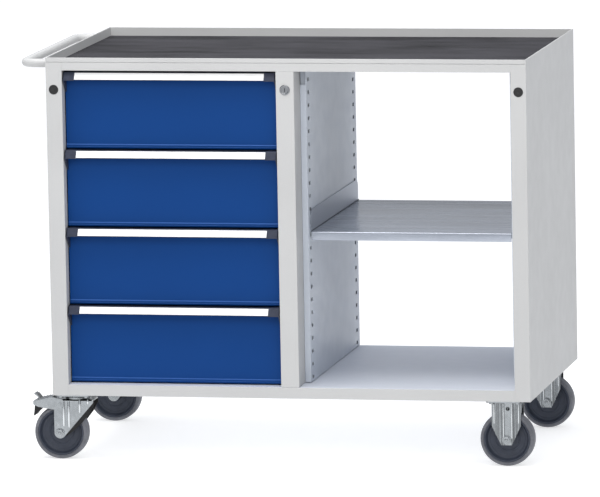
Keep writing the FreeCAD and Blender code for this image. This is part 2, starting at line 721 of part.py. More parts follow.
def lock_cylinder():
    """The core with its key slot."""
    body = new_body("lock_cylinder")
    centre = (LOCK_ACROSS, d.lock_level)
    pad(body, "XZ", [(*centre, d.lock_core_radius)], -d.lock_proud + 0.4, d.lock_length + 2)
    slot = rectangle(LOCK_ACROSS - 0.8, d.lock_level - 4.5, LOCK_ACROSS + 0.8, d.lock_level + 4.5)
    pocket(body, "XZ", [slot], -d.lock_proud + 0.4, 8)
    finish_node("lock_cylinder", body)


def lock_cam():
    """The cam behind the core; its pin lifts and lowers the lock bar."""
    start = d.lock_length + 2
    rise = d.cam_radius * 0.7071
    pin_across, pin_level = LOCK_ACROSS - rise, d.lock_level + rise
    disc = bar_along_y(LOCK_ACROSS, d.lock_level, d.cam_radius + 3.5, start, start + 3)
    pin = bar_along_y(pin_across, pin_level, d.cam_pin_radius, start + 3, start + 14)
    finish_node("lock_cam", fused([disc, pin]))


def lock_bar():
    """The upright bar: a slotted arm for the cam's pin, and one finger for each drawer's catch."""
    body = new_body("lock_bar")
    web_left = d.middle_post_left + d.lock_bar_sheet
    web_right = web_left + d.lock_bar_sheet
    pin_level = d.lock_level + d.cam_radius * 0.7071
    web = rectangle(d.lock_bar_front, d.lock_bar_low, d.lock_bar_back, pin_level + 12)
    pad(body, "YZ", [web], web_left, web_right)
    arm_low, arm_back = pin_level - d.lock_arm_height / 2, d.lock_arm_front + d.lock_bar_sheet
    arm = rectangle(web_right, arm_low, web_right + 15, arm_low + d.lock_arm_height)
    pad(body, "XZ", [arm], d.lock_arm_front, arm_back)
    slot_low = pin_level - d.cam_pin_radius - 0.5
    slot_high = slot_low + 2 * d.cam_pin_radius + 1
    slot = rectangle(web_right + 1.5, slot_low, web_right + 12.5, slot_high)
    pocket(body, "XZ", [slot], d.lock_arm_front, arm_back)
    for number in DRAWERS:
        level = front_level(number) + d.catch_level + d.finger_over_catch
        finger = rectangle(d.middle_post_left - 10, level, web_left, level + d.finger_height)
        pad(body, "XZ", [finger], d.finger_front, d.lock_bar_back)
    finish_node("lock_bar", body)


# ---------------------------------------------------------------- casters

def caster_places():
    """The four casters: name, place across and place back."""
    near, far = d.caster_depth_inset, d.cabinet_depth - d.caster_depth_inset
    swivel, fixed = d.swivel_inset, d.cabinet_width - d.fixed_inset
    return {"front_left": (swivel, near), "rear_left": (swivel, far),
            "front_right": (fixed, near), "rear_right": (fixed, far)}


def top_plate(body, low, high):
    """The bolted plate of a caster, centred on the origin."""
    across, deep = d.plate_width / 2, d.plate_depth / 2
    holes = [(x, y, d.bolt_hole_radius) for x, y in bolt_places(size(0))]
    pad(body, "XY", [rectangle(-across, -deep, across, deep), *holes], low, high)
    edge_x, edge_y = across.value, deep.value
    round_edges(body, 8, lambda x, y, z: abs(abs(x) - edge_x) < 0.1 and abs(abs(y) - edge_y) < 0.1)


def swivel_caster_plates():
    """Top plates with the fixed race and the kingpin of the two swivel casters."""
    plates = []
    for name in ("front_left", "rear_left"):
        body = new_body("plate")
        top_plate(body, PLATE_BOTTOM, d.caster_height)
        race_low, head_top = PLATE_BOTTOM - d.race_depth, CROWN_LOW - 0.3
        pad(body, "XY", [(0, 0, d.race_radius)], race_low, PLATE_BOTTOM)
        pad(body, "XY", [(0, 0, d.kingpin_radius)], head_top, race_low)
        pad(body, "XY", [(0, 0, d.kingpin_head_radius)], head_top - d.kingpin_head, head_top)
        across, back = caster_places()[name]
        bind(body, "Placement.Base.x", across)
        bind(body, "Placement.Base.y", back)
        plates.append(body)
    finish_node("swivel_caster_plates", group(plates))


def swivel_fork(name):
    """The fork: a crown with the turning race and two ribbed legs that lean back to the axle."""
    body = new_body("fork")
    across, back = caster_places()[name]
    axle_x, axle_z = -d.trail, d.wheel_radius
    hole = d.kingpin_radius + d.running_clearance
    pad(body, "XY", [rectangle(-50, -FORK_OUT, 42, FORK_OUT), (0, 0, hole)], CROWN_LOW, CROWN_TOP)
    pad(body, "XY", [(0, 0, d.fork_race_radius), (0, 0, hole)], CROWN_TOP, FORK_RACE_TOP)
    leg = [(axle_x - d.fork_boss_radius, axle_z), (-50, CROWN_TOP), (42, CROWN_TOP), (42, 128),
           (axle_x + 11, axle_z - 8)]
    pivot_hole = (d.pedal_pivot_across, d.pedal_pivot_level, d.pedal_pin_radius + d.running_clearance)
    for start, end in ((-FORK_OUT, -d.fork_gap / 2), (d.fork_gap / 2, FORK_OUT)):
        pad(body, "XZ", [leg], start, end)
        pad(body, "XZ", [(axle_x, axle_z, d.fork_boss_radius)], start, end)
        pocket(body, "XZ", [(axle_x, axle_z, d.axle_radius)], start, end)
        pocket(body, "XZ", [pivot_hole], start, end)
    for rib, low, high in ((-28.7, 78, 139), (-16.3, 73, 139), (9.6, 108.5, 141), (29, 130, 141)):
        outline = rectangle(rib - d.rib_width / 2, low, rib + d.rib_width / 2, high)
        pad(body, "XZ", [outline], -FORK_OUT - d.rib_proud, -FORK_OUT)
        pad(body, "XZ", [outline], FORK_OUT, FORK_OUT + d.rib_proud)
    finish_node(f"{name}_caster_fork", body, across, back, 0)


def axle_bolt(x, y):
    """A bolt through both legs, with its head in front and its nut behind."""
    shank = bar_along_y(x, d.wheel_radius, d.axle_radius, y - FORK_OUT, y + FORK_OUT)
    head = hexagon(x, y - FORK_OUT - 5, d.wheel_radius, 9, 5, along_y=True)
    nut = hexagon(x, y + FORK_OUT, d.wheel_radius, 9, 5, along_y=True)
    return fused([shank, head, nut])


def swivel_axle(name):
    across, back = caster_places()[name]
    finish_node(f"{name}_caster_axle", axle_bolt(-d.trail, size(0)), across, back, 0)


def brake_pedal(name):
    """The foot lever: two cheeks outside the fork, a tread plate, a release tab and the shoe."""
    body = new_body("pedal")
    across, back = caster_places()[name]
    inner = FORK_OUT + d.pedal_gap
    outer = inner + d.pedal_wall
    cheek = [(-28, 124), (-28, 141), (-56, 146), (-100, 137), (-100, 128), (-88, 123),
             (-66, 119), (-50, 117), (-36, 120)]
    for start, end in ((-outer, -inner), (inner, outer)):
        pad(body, "XZ", [cheek], start, end)
    tread = [(-56, 146), (-100, 137), (-100, 135), (-56, 144)]
    pad(body, "XZ", [tread], -inner, inner)
    tab = [(-89, 138), (-97, 148), (-101.5, 151.5), (-99.5, 153.5), (-93, 149.5), (-84.5, 139.5)]
    pad(body, "XZ", [tab], -12, 12)
    shoe = [(-98, 136.2), (-79, 140), (-76, 124), (-84, 116), (-94, 107.5), (-103, 96),
            (-100, 112), (-99, 122)]
    pad(body, "XZ", [shoe], -17, 17)
    pin = (d.pedal_pivot_across, d.pedal_pivot_level, d.pedal_pin_radius)
    pad(body, "XZ", [pin], -inner, -d.fork_gap / 2 + 1)
    pad(body, "XZ", [pin], d.fork_gap / 2 - 1, inner)
    finish_node(f"{name}_brake_pedal", body, across, back, 0)


def wheel_and_tyre(name, across, back):
    """A moulded wheel with a dished web, and the tread ring round it."""
    half, rim, radius = d.wheel_width / 2, d.rim_radius, d.wheel_radius
    bore = d.axle_radius + d.running_clearance
    hub = d.fork_gap / 2 - 1
    wheel = new_body("wheel")
    profile = [(-hub, bore), (hub, bore), (hub, 13), (7, 15), (5, 18), (5, 42), (half - 4, 45),
               (half - 2, rim), (2 - half, rim), (4 - half, 45), (-5, 42), (-5, 18), (-7, 15), (-hub, 13)]
    revolve(wheel, "YZ", profile, "H_Axis")
    finish_node(f"{name}_wheel", wheel, across, back, d.wheel_radius)
    tyre = new_body("tyre")
    tread = [(2 - half, rim), (half - 2, rim), (half, rim + 2), (half, radius - 5),
             (half - 3.5, radius - 1), (half - 7, radius), (7 - half, radius),
             (3.5 - half, radius - 1), (-half, radius - 5), (-half, rim + 2)]
    revolve(tyre, "YZ", tread, "H_Axis")
    finish_node(f"{name}_tyre", tyre, across, back, d.wheel_radius)


def fixed_caster_brackets():
    """Top plates and tapering, fluted legs of the two fixed casters."""
    brackets = []
    leg = [(-33.5, PLATE_BOTTOM), (33.5, PLATE_BOTTOM), (33.5, 95), (12.5, 51), (-12.5, 51), (-33.5, 95)]
    for name in ("front_right", "rear_right"):
        body = new_body("bracket")
        top_plate(body, PLATE_BOTTOM, d.caster_height)
        for start, end in ((-FORK_OUT, -d.fork_gap / 2), (d.fork_gap / 2, FORK_OUT)):
            pad(body, "XZ", [leg, (0, d.wheel_radius, d.axle_radius), (0, 140, 5)], start, end)
        for flute in (-6.5, 14):
            outline = rectangle(flute - 2.5, 78, flute + 2.5, 148)
            pad(body, "XZ", [outline], -FORK_OUT - d.rib_proud, -FORK_OUT)
            pad(body, "XZ", [outline], FORK_OUT, FORK_OUT + d.rib_proud)
        across, back = caster_places()[name]
        bind(body, "Placement.Base.x", across)
        bind(body, "Placement.Base.y", back)
        brackets.append(body)
    finish_node("fixed_caster_brackets", group(brackets))


def caster_bolts():
    """The plate bolts of all casters and the axle bolts of the fixed ones."""
    bolts = []
    head_height = size(5)
    for name, (across, middle) in caster_places().items():
        for shift, back in bolt_places(middle):
            x = across + shift
            head = hexagon(x, back, PLATE_BOTTOM - head_height, d.bolt_head, head_height)
            shank = rod(x, back, PLATE_BOTTOM, d.bolt_radius, d.plate_wall + d.base_channel_wall + 1)
            nut = hexagon(x, back, d.caster_height + d.base_channel_wall, d.bolt_head, 6)
            bolts.append(fused([head, shank, nut]))
        if name.endswith("right"):
            bolts.append(axle_bolt(across, middle))
    finish_node("caster_bolts", group(bolts))


# ---------------------------------------------------------------- assembly

def build():
    side_panels()
    centre_partition()
    slotted_linings()
    floor_panel()
    base_channels()
    worktop_tray()
    top_front_rail()
    rubber_mat()
    drawer_bay_back_panel()
    push_handle()
    post_hole_plugs()
    adjustable_shelf()
    shelf_clips()
    slide_cabinet_members()
    for number in DRAWERS:
        drawer_box(number)
        drawer_front(number)
        grip_rail(number)
        grip_end_caps(number)
        slide_middle_members(number)
        slide_drawer_members(number)
    lock_housing()
    lock_cylinder()
    lock_cam()
    lock_bar()
    swivel_caster_plates()
    fixed_caster_brackets()
    caster_bolts()
    for name, (across, back) in caster_places().items():
        if name.endswith("left"):
            swivel_fork(name)
            swivel_axle(name)
            brake_pedal(name)
            wheel_and_tyre(name, across - d.trail, back)
        else:
            wheel_and_tyre(name, across, back)


def check_and_export():
    """Stop on any failed feature or bad shape, then write one STEP file for each sub-part."""
    doc.recompute()
    for item in doc.Objects:
        if "Invalid" in item.State or "Error" in item.State:
            raise RuntimeError(f"{item.Name} ({item.Label}) failed: {item.State}")
    for feature, base in cuts:
        if feature.Shape.Volume > base.Shape.Volume - 0.01:
            raise RuntimeError(f"{feature.Name} removes nothing from {base.Name}")
    for node in nodes:
        if node.Shape.isNull() or not node.Shape.isValid():
            raise RuntimeError(f"{node.Label} has no valid shape")
    for node in nodes:
        node.Shape.exportStep(f"parts/{node.Label}.step")


build()
check_and_export()
print(len(nodes), "sub-parts written")
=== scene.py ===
"""Looks of the mobile workbench: refined pieces, node materials, light and camera.

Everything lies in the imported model's frame: metres, +X right, +Y back, +Z up.
Piece sizes are written in millimetres and turned into metres by MM.
"""

import json
import math

import bmesh
import bpy
from mathutils import Matrix, Vector


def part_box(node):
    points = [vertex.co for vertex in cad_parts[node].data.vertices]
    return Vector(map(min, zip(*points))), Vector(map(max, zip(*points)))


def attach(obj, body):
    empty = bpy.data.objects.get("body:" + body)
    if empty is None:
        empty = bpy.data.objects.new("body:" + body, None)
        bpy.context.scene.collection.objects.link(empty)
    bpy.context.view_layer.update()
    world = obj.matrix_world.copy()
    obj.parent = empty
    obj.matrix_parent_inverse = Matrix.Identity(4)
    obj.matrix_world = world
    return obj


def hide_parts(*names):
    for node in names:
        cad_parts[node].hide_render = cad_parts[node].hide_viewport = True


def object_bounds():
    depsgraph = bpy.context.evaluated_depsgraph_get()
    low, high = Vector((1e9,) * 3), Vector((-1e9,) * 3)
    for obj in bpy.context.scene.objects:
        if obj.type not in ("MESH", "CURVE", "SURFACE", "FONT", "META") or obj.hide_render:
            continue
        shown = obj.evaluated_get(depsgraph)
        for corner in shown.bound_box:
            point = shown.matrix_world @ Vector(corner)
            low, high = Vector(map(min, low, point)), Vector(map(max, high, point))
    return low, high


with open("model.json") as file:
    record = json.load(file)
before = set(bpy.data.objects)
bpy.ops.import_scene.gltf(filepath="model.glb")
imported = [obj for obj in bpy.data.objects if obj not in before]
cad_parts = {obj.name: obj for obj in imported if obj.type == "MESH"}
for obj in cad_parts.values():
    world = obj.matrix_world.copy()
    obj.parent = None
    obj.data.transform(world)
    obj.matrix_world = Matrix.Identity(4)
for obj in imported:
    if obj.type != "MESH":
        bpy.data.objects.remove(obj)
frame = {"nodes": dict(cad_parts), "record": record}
CAD_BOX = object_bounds()

MM = 0.001
CROWN_TOP = 141.5
RACE_TOP = 147.5
PLATE_LOW = 152.0
CABINET_LOW = 155.0
AXLE_RADIUS = 5.0
AXLE_HOLE = 5.05
AXLE_FACE = 24.0
SWIVEL_OFFSET = 38.0
LEG_INNER = 21.5
LEG_OUTER = 23.8
PLATE_BOLTS = [(x, y) for x in (-30, 30) for y in (-40, 40)]
DRAWERS = (1, 2, 3, 4)
SWIVEL_CORNERS = ("front_left", "rear_left")
FIXED_CORNERS = ("front_right", "rear_right")
CORNERS = SWIVEL_CORNERS + FIXED_CORNERS


# ---------------------------------------------------------------- node materials

class Finish:
    """One node material; its patterns are read in the object's own coordinates, in metres."""

    def __init__(self, name, metallic=0.0, specular=0.5):
        self.material = bpy.data.materials.new(name)
        self.material.use_nodes = True
        self.nodes = self.material.node_tree.nodes
        self.links = self.material.node_tree.links
        self.shader = self.nodes["Principled BSDF"]
        self.shader.inputs["Metallic"].default_value = metallic
        self.shader.inputs["Specular IOR Level"].default_value = specular
        self.place = self.nodes.new("ShaderNodeTexCoord").outputs["Object"]

    def feed(self, socket, value):
        """A number or colour is set on the socket; another node's output is linked to it."""
        if isinstance(value, bpy.types.NodeSocket):
            self.links.new(value, socket)
        else:
            socket.default_value = value

    def noise(self, scale, detail=2.0, stretch=(1.0, 1.0, 1.0)):
        mapping = self.nodes.new("ShaderNodeMapping")
        mapping.inputs["Scale"].default_value = stretch
        self.links.new(self.place, mapping.inputs["Vector"])
        texture = self.nodes.new("ShaderNodeTexNoise")
        texture.inputs["Scale"].default_value = scale
        texture.inputs["Detail"].default_value = detail
        self.links.new(mapping.outputs["Vector"], texture.inputs["Vector"])
        return texture.outputs[0]

    def cells(self, scale):
        """A value that is constant inside each cell, as in zinc spangle."""
        texture = self.nodes.new("ShaderNodeTexVoronoi")
        texture.inputs["Scale"].default_value = scale
        self.links.new(self.place, texture.inputs["Vector"])
        split = self.nodes.new("ShaderNodeSeparateColor")
        self.links.new(texture.outputs["Color"], split.inputs[0])
        return split.outputs[0]

    def ranged(self, value, low, high, to_low, to_high):
        node = self.nodes.new("ShaderNodeMapRange")
        for socket, number in zip(node.inputs[1:5], (low, high, to_low, to_high)):
            socket.default_value = number
        self.links.new(value, node.inputs[0])
        return node.outputs[0]

    def times(self, first, second):
        node = self.nodes.new("ShaderNodeMath")
        node.operation = "MULTIPLY"
        self.feed(node.inputs[0], first)
        self.feed(node.inputs[1], second)
        return node.outputs[0]

    def mixed(self, factor, first, second):
        """Colour first turning into second as factor goes from 0 to 1."""
        node = self.nodes.new("ShaderNodeMix")
        node.data_type = "RGBA"
        self.feed(node.inputs[0], factor)
        self.feed(node.inputs[6], first)
        self.feed(node.inputs[7], second)
        return node.outputs[2]

    def edges(self, radius):
        """1 along convex and concave edges within the radius, 0 on flats."""
        rounded_normal = self.nodes.new("ShaderNodeBevel")
        rounded_normal.samples = 4
        rounded_normal.inputs["Radius"].default_value = radius
        geometry = self.nodes.new("ShaderNodeNewGeometry")
        likeness = self.nodes.new("ShaderNodeVectorMath")
        likeness.operation = "DOT_PRODUCT"
        self.links.new(rounded_normal.outputs[0], likeness.inputs[0])
        self.links.new(geometry.outputs["Normal"], likeness.inputs[1])
        return self.ranged(likeness.outputs["Value"], 0.995, 0.85, 0.0, 1.0)

    def facing(self, axis, one_way=False):
        """How far the surface faces along an axis of its own object, both ways or only the positive way."""
        split = self.nodes.new("ShaderNodeSeparateXYZ")
        self.links.new(self.nodes["Texture Coordinate"].outputs["Normal"], split.inputs[0])
        if one_way:
            return split.outputs[axis]
        node = self.nodes.new("ShaderNodeMath")
        node.operation = "ABSOLUTE"
        self.links.new(split.outputs[axis], node.inputs[0])
        return node.outputs[0]

    def colour(self, value):
        self.feed(self.shader.inputs["Base Color"], value)

    def roughness(self, value):
        self.feed(self.shader.inputs["Roughness"], value)

    def relief(self, height, distance, strength=1.0):
        """Add a bump of that depth in metres on top of those already there."""
        bump = self.nodes.new("ShaderNodeBump")
        bump.inputs["Strength"].default_value = strength
        bump.inputs["Distance"].default_value = distance
        self.links.new(height, bump.inputs["Height"])
        normal = self.shader.inputs["Normal"]
        if normal.is_linked:
            self.links.new(normal.links[0].from_socket, bump.inputs["Normal"])
        self.links.new(bump.outputs["Normal"], normal)


def shade(colour, factor):
    """The colour times factor, with alpha 1."""
    return (*[min(1.0, channel * factor) for channel in colour], 1.0)


def powder_coat(name, colour, roughness, wear, specular=0.5, lit_top_colour=None, slope_highlight_colour=None):
    """Baked powder coat: fine orange peel, a slow drift of tone, and edges rubbed a little lighter; upward
    faces may be painted lighter as painted light, and upward slopes lighter as a painted highlight.
    """
    finish = Finish(name, specular=specular)
    drift = finish.ranged(finish.noise(4.0, 3.0), 0.35, 0.65, 0.0, 1.0)
    grain = finish.noise(850.0, 2.0)
    base = finish.mixed(drift, shade(colour, 0.965), shade(colour, 1.015))
    if lit_top_colour:
        # Painted light: faces turned upward take the lighter lit top colour, standing in for light falling on
        # them.
        level = finish.ranged(finish.facing("Z"), 0.7, 0.95, 0.0, 1.0)
        base = finish.mixed(level, base, shade(lit_top_colour, 1.0))
    if slope_highlight_colour:
        # Painted highlight: slopes turned upward, such as the bead's upper faces, are painted a lighter
        # colour.
        slope = finish.ranged(finish.facing("Z", one_way=True), 0.2, 0.5, 0.0, 0.85)
        base = finish.mixed(slope, base, shade(slope_highlight_colour, 1.0))
    base = finish.mixed(finish.ranged(grain, 0.45, 0.75, 0.0, 0.22), base, shade(colour, 1.14))
    patchy = finish.ranged(finish.noise(60.0, 4.0), 0.42, 0.68, 0.0, wear)
    rubbed = finish.times(finish.edges(1.2 * MM), patchy)
    finish.colour(finish.mixed(rubbed, base, shade(colour, 1.5)))
    finish.roughness(finish.ranged(finish.noise(28.0, 3.0), 0.3, 0.7, roughness - 0.05, roughness + 0.07))
    finish.relief(finish.noise(1100.0, 2.0), 0.05 * MM, 0.5)
    finish.relief(finish.noise(160.0, 1.0), 0.05 * MM, 0.35)
    return finish.material


def moulded_plastic(name, colour, roughness, specular=0.35):
    """Moulded plastic with a fine spark-eroded grain and scuffed edges."""
    finish = Finish(name, specular=specular)
    mottle = finish.ranged(finish.noise(90.0, 4.0), 0.35, 0.7, 0.0, 1.0)
    base = finish.mixed(mottle, shade(colour, 0.88), shade(colour, 1.1))
    scuff = finish.times(finish.edges(0.8 * MM), finish.ranged(finish.noise(240.0, 3.0), 0.4, 0.7, 0.0, 0.55))
    finish.colour(finish.mixed(scuff, base, shade(colour, 2.2)))
    finish.roughness(finish.ranged(finish.noise(45.0, 3.0), 0.3, 0.7, roughness - 0.06, roughness + 0.08))
    finish.relief(finish.noise(1500.0, 2.0), 0.04 * MM, 0.6)
    return finish.material


def zinc_plate(name, colour, roughness):
    """Bright zinc plate: faint rolling lines and cloudy patches, with painted shade on faces turned along X
    and on edges and creases.
    """
    finish = Finish(name, metallic=1.0)
    cloud = finish.ranged(finish.noise(40.0, 4.0), 0.35, 0.65, 0.0, 1.0)
    rolled = finish.noise(900.0, 3.0, stretch=(1.0, 1.0, 0.04))
    base = finish.mixed(cloud, shade(colour, 0.93), shade(colour, 1.05))
    base = finish.mixed(finish.ranged(rolled, 0.4, 0.7, 0.0, 0.2), base, shade(colour, 0.85))
    # Painted shade: faces turned along the object's X are darkened, standing in for the dark bands reflected
    # on the flanks of ribs and flutes.
    flank_painted_shade = finish.ranged(finish.facing("X"), 0.1, 0.55, 0.0, 0.85)
    base = finish.mixed(flank_painted_shade, base, shade(colour, 0.3))
    # Painted shade: edges and creases are painted darker.
    edge_crease_shade = finish.times(finish.edges(0.8 * MM), 0.35)
    finish.colour(finish.mixed(edge_crease_shade, base, shade(colour, 0.6)))
    finish.roughness(finish.ranged(finish.noise(120.0, 4.0), 0.3, 0.7, roughness - 0.07, roughness + 0.1))
    finish.relief(rolled, 0.02 * MM, 0.25)
    finish.relief(finish.noise(70.0, 2.0), 0.05 * MM, 0.3)
    return finish.material


def galvanised_sheet(name, colour, roughness):
    """Galvanised sheet: streaks along the shelf and a faint spangle; the upstands, turned along X, are
    painted darker as painted shade and made rougher.
    """
    finish = Finish(name, metallic=0.85)
    streaks = finish.noise(130.0, 4.0, stretch=(0.03, 1.0, 1.0))
    broad = finish.noise(26.0, 3.0, stretch=(0.12, 1.0, 1.0))
    spangle = finish.cells(170.0)
    base = finish.mixed(finish.ranged(broad, 0.35, 0.65, 0.0, 1.0), shade(colour, 0.84), shade(colour, 1.08))
    base = finish.mixed(finish.ranged(streaks, 0.4, 0.68, 0.0, 0.5), base, shade(colour, 1.3))
    base = finish.mixed(finish.ranged(spangle, 0.0, 1.0, 0.0, 0.16), base, shade(colour, 0.7))
    # Painted shade: faces turned along X, the upstands, are painted darker; the same mask makes them rougher.
    upstand_shade_and_dullness = finish.ranged(finish.facing("X"), 0.5, 0.9, 0.0, 1.0)
    finish.colour(finish.mixed(upstand_shade_and_dullness, base, shade(colour, 0.85)))
    deck_roughness = finish.ranged(streaks, 0.3, 0.7, roughness - 0.08, roughness + 0.12)
    finish.roughness(finish.mixed(upstand_shade_and_dullness, deck_roughness, (0.5, 0.5, 0.5, 1.0)))
    finish.relief(streaks, 0.05 * MM, 0.35)
    return finish.material


def ribbed_rubber(name, colour, roughness):
    """Mat rubber: dark, with lighter and darker streaks along the ribs and lighter patches."""
    finish = Finish(name, specular=0.14)
    streaks = finish.noise(24.0, 6.0, stretch=(0.2, 1.0, 1.0))
    patches = finish.noise(6.0, 4.0, stretch=(0.5, 1.0, 1.0))
    base = finish.mixed(finish.ranged(streaks, 0.4, 0.62, 0.0, 1.0), shade(colour, 0.55), shade(colour, 1.55))
    lighter_patches = finish.ranged(patches, 0.42, 0.66, 0.0, 0.6)
    finish.colour(finish.mixed(lighter_patches, base, shade(colour, 2.1)))
    finish.roughness(finish.ranged(streaks, 0.3, 0.7, roughness - 0.1, roughness + 0.1))
    finish.relief(finish.noise(700.0, 3.0, stretch=(0.3, 1.0, 1.0)), 0.15 * MM, 0.5)
    return finish.material


def tyre_rubber(name, colour, roughness):
    """Grey thermoplastic tread, a little dusty, with fine moulding texture."""
    finish = Finish(name, specular=0.4)
    dust = finish.ranged(finish.noise(38.0, 5.0), 0.42, 0.7, 0.0, 0.6)
    mottle = finish.ranged(finish.noise(300.0, 3.0), 0.3, 0.7, 0.0, 1.0)
    base = finish.mixed(mottle, shade(colour, 0.85), shade(colour, 1.12))
    finish.colour(finish.mixed(dust, base, shade(colour, 1.6)))
    finish.roughness(finish.ranged(finish.noise(60.0, 3.0), 0.3, 0.7, roughness - 0.08, roughness + 0.1))
    finish.relief(finish.noise(900.0, 3.0), 0.08 * MM, 0.5)
    return finish.material


def polished_chrome(name, colour):
    """Polished chrome with hairline scratches from keys."""
    finish = Finish(name, metallic=1.0)
    scratches = finish.noise(1400.0, 2.0, stretch=(1.0, 1.0, 0.15))
    marks = finish.ranged(scratches, 0.45, 0.7, 0.0, 0.4)
    finish.colour(finish.mixed(marks, shade(colour, 1.0), shade(colour, 0.7)))
    finish.roughness(finish.ranged(scratches, 0.4, 0.7, 0.1, 0.26))
    finish.relief(scratches, 0.02 * MM, 0.4)
    return finish.material


def label_card(name, colour):
    """White card behind clear film: faint fibre and a soft gloss."""
    finish = Finish(name, specular=0.5)
    fibre = finish.noise(1300.0, 3.0)
    fleck = finish.ranged(fibre, 0.4, 0.7, 0.0, 0.5)
    finish.colour(finish.mixed(fleck, shade(colour, 1.0), shade(colour, 0.97)))
    finish.roughness(finish.ranged(finish.noise(70.0, 2.0), 0.3, 0.7, 0.28, 0.4))
    finish.relief(fibre, 0.01 * MM, 0.4)
    return finish.material


SLOT_FINISHES = {
    "cabinet_paint": powder_coat("cabinet_paint_look", (0.485, 0.487, 0.487), 0.5, 0.5, 0.4),
    "drawer_box_paint": powder_coat("drawer_box_paint_look", (0.47, 0.475, 0.48), 0.52, 0.5, 0.4),
    # Drawer fronts: the lighter blue on the bead's upward slopes is a painted highlight.
    "drawer_front_paint": powder_coat("drawer_front_paint_look", (0.0022, 0.044, 0.196), 0.46, 0.3, 0.13,
                                      slope_highlight_colour=(0.036, 0.115, 0.37)),
    "grip_plastic": moulded_plastic("grip_plastic_look", (0.030, 0.036, 0.060), 0.45, 0.25),
    "mat_rubber": ribbed_rubber("mat_rubber_look", (0.031, 0.0305, 0.035), 0.66),
    "plug_plastic": moulded_plastic("plug_plastic_look", (0.016, 0.016, 0.017), 0.45),
    "galvanised_steel": galvanised_sheet("galvanised_steel_look", (0.45, 0.483, 0.55), 0.2),
    "zinc_plated_steel": zinc_plate("zinc_plated_steel_look", (0.33, 0.35, 0.365), 0.25),
    "slide_steel": zinc_plate("slide_steel_look", (0.42, 0.43, 0.45), 0.34),
    "lock_chrome": polished_chrome("lock_chrome_look", (0.27, 0.28, 0.295)),
    "wheel_plastic": moulded_plastic("wheel_plastic_look", (0.036, 0.043, 0.062), 0.5),
    "tyre_rubber": tyre_rubber("tyre_rubber_look", (0.118, 0.122, 0.138), 0.6),
}
# Linings: the cabinet grey painted lighter and bluer, as painted light for the bluish light inside the
# compartments.
LINING_LIT_PAINT = powder_coat("lining_lit_paint_look", (0.50, 0.54, 0.605), 0.45, 0.4, 0.5)
# Floor panel: the cabinet grey, with its upward faces painted lighter and bluer as painted light.
FLOOR_PAINT = powder_coat("floor_paint_look", (0.485, 0.487, 0.487), 0.45, 0.4, 0.5,
                          lit_top_colour=(0.70, 0.735, 0.81))
NODE_FINISHES = {"slotted_linings": LINING_LIT_PAINT, "floor_panel": FLOOR_PAINT}
LABEL_CARD = label_card("label_card_look", (0.93, 0.93, 0.93))
# A brighter copy of the zinc: a painted highlight on the crests of ribs and flutes.
HIGHLIGHT_ZINC = zinc_plate("highlight_zinc_look", (0.66, 0.69, 0.71), 0.22)
# Painted shade: dark finish for the strips along the shelf's folds, standing in for shade in the crease.
FOLD_SHADE = moulded_plastic("fold_shade_look", (0.10, 0.11, 0.13), 0.7)
SHOE_RUBBER = moulded_plastic("shoe_rubber_look", (0.010, 0.010, 0.011), 0.6)
SLOT_OF_NODE = {row["node"]: row["material_slot"] for row in frame["record"]["subparts"]}


# ---------------------------------------------------------------- mesh helpers

def in_space(plane, u, v, w):
    """A point from its two coordinates in a plane and w across it."""
    return Vector({"YZ": (w, u, v), "XZ": (u, w, v), "XY": (u, v, w)}[plane])


def rounded(corners, radius=0.0, steps=5):
    """The outline with its corners turned into arcs; a corner may carry its own radius as a third number."""
    points = []
    count = len(corners)
    for i, corner in enumerate(corners):
        here = Vector(corner[:2])
        bend = corner[2] if len(corner) > 2 else radius
        back = Vector(corners[i - 1][:2]) - here
        ahead = Vector(corners[(i + 1) % count][:2]) - here
        half = back.angle(ahead) / 2
        if bend == 0 or half > 1.55:
            points.append(here)
            continue
        reach = min(bend / math.tan(half), 0.48 * back.length, 0.48 * ahead.length)
        centre = here + (back.normalized() + ahead.normalized()).normalized() * (reach / math.cos(half))
        first = here + back.normalized() * reach - centre
        last = here + ahead.normalized() * reach - centre
        sweep = first.angle(last)
        for k in range(steps + 1):
            share = k / steps
            lean = math.sin((1 - share) * sweep) * first + math.sin(share * sweep) * last
            points.append(centre + lean / math.sin(sweep))
    return points


def arc(centre, radius, start, end, steps=10):
    """Points along an arc between two angles in degrees."""
    angles = [math.radians(start + (end - start) * k / steps) for k in range(steps + 1)]
    return [(centre[0] + radius * math.cos(a), centre[1] + radius * math.sin(a)) for a in angles]


def circle(centre, radius, count=24):
    """Evenly spaced points round a full circle."""
    return arc(centre, radius, 0, 360 - 360 / count, count - 1)


def merge(bm, part):
    """Move everything in part into bm."""
    scratch = bpy.data.meshes.new("scratch")
    part.to_mesh(scratch)
    part.free()
    bm.from_mesh(scratch)
    bpy.data.meshes.remove(scratch)


def prism(bm, plane, outline, start, end):
    """The outline, in millimetres, carried from start to end across its plane."""
    rings = [[bm.verts.new(in_space(plane, p[0], p[1], w) * MM) for p in outline] for w in (start, end)]
    count = len(outline)
    for i in range(count):
        j = (i + 1) % count
        bm.faces.new((rings[0][i], rings[0][j], rings[1][j], rings[1][i]))
    bm.faces.new(rings[0])
    bm.faces.new(rings[1][::-1])


def plate(bm, plane, outlines, start, end):
    """A flat plate with holes: the first outline is its rim and the others are holes."""
    lines = []
    for outline in outlines:
        ring = [bm.verts.new(in_space(plane, p[0], p[1], start) * MM) for p in outline]
        lines += [bm.edges.new((ring[i - 1], ring[i])) for i in range(len(ring))]
    filled = bmesh.ops.triangle_fill(bm, use_beauty=True, edges=lines)["geom"]
    faces = [item for item in filled if isinstance(item, bmesh.types.BMFace)]
    grown = bmesh.ops.extrude_face_region(bm, geom=faces)["geom"]
    moved = [item for item in grown if isinstance(item, bmesh.types.BMVert)]
    bmesh.ops.translate(bm, verts=moved, vec=in_space(plane, 0, 0, end - start) * MM)


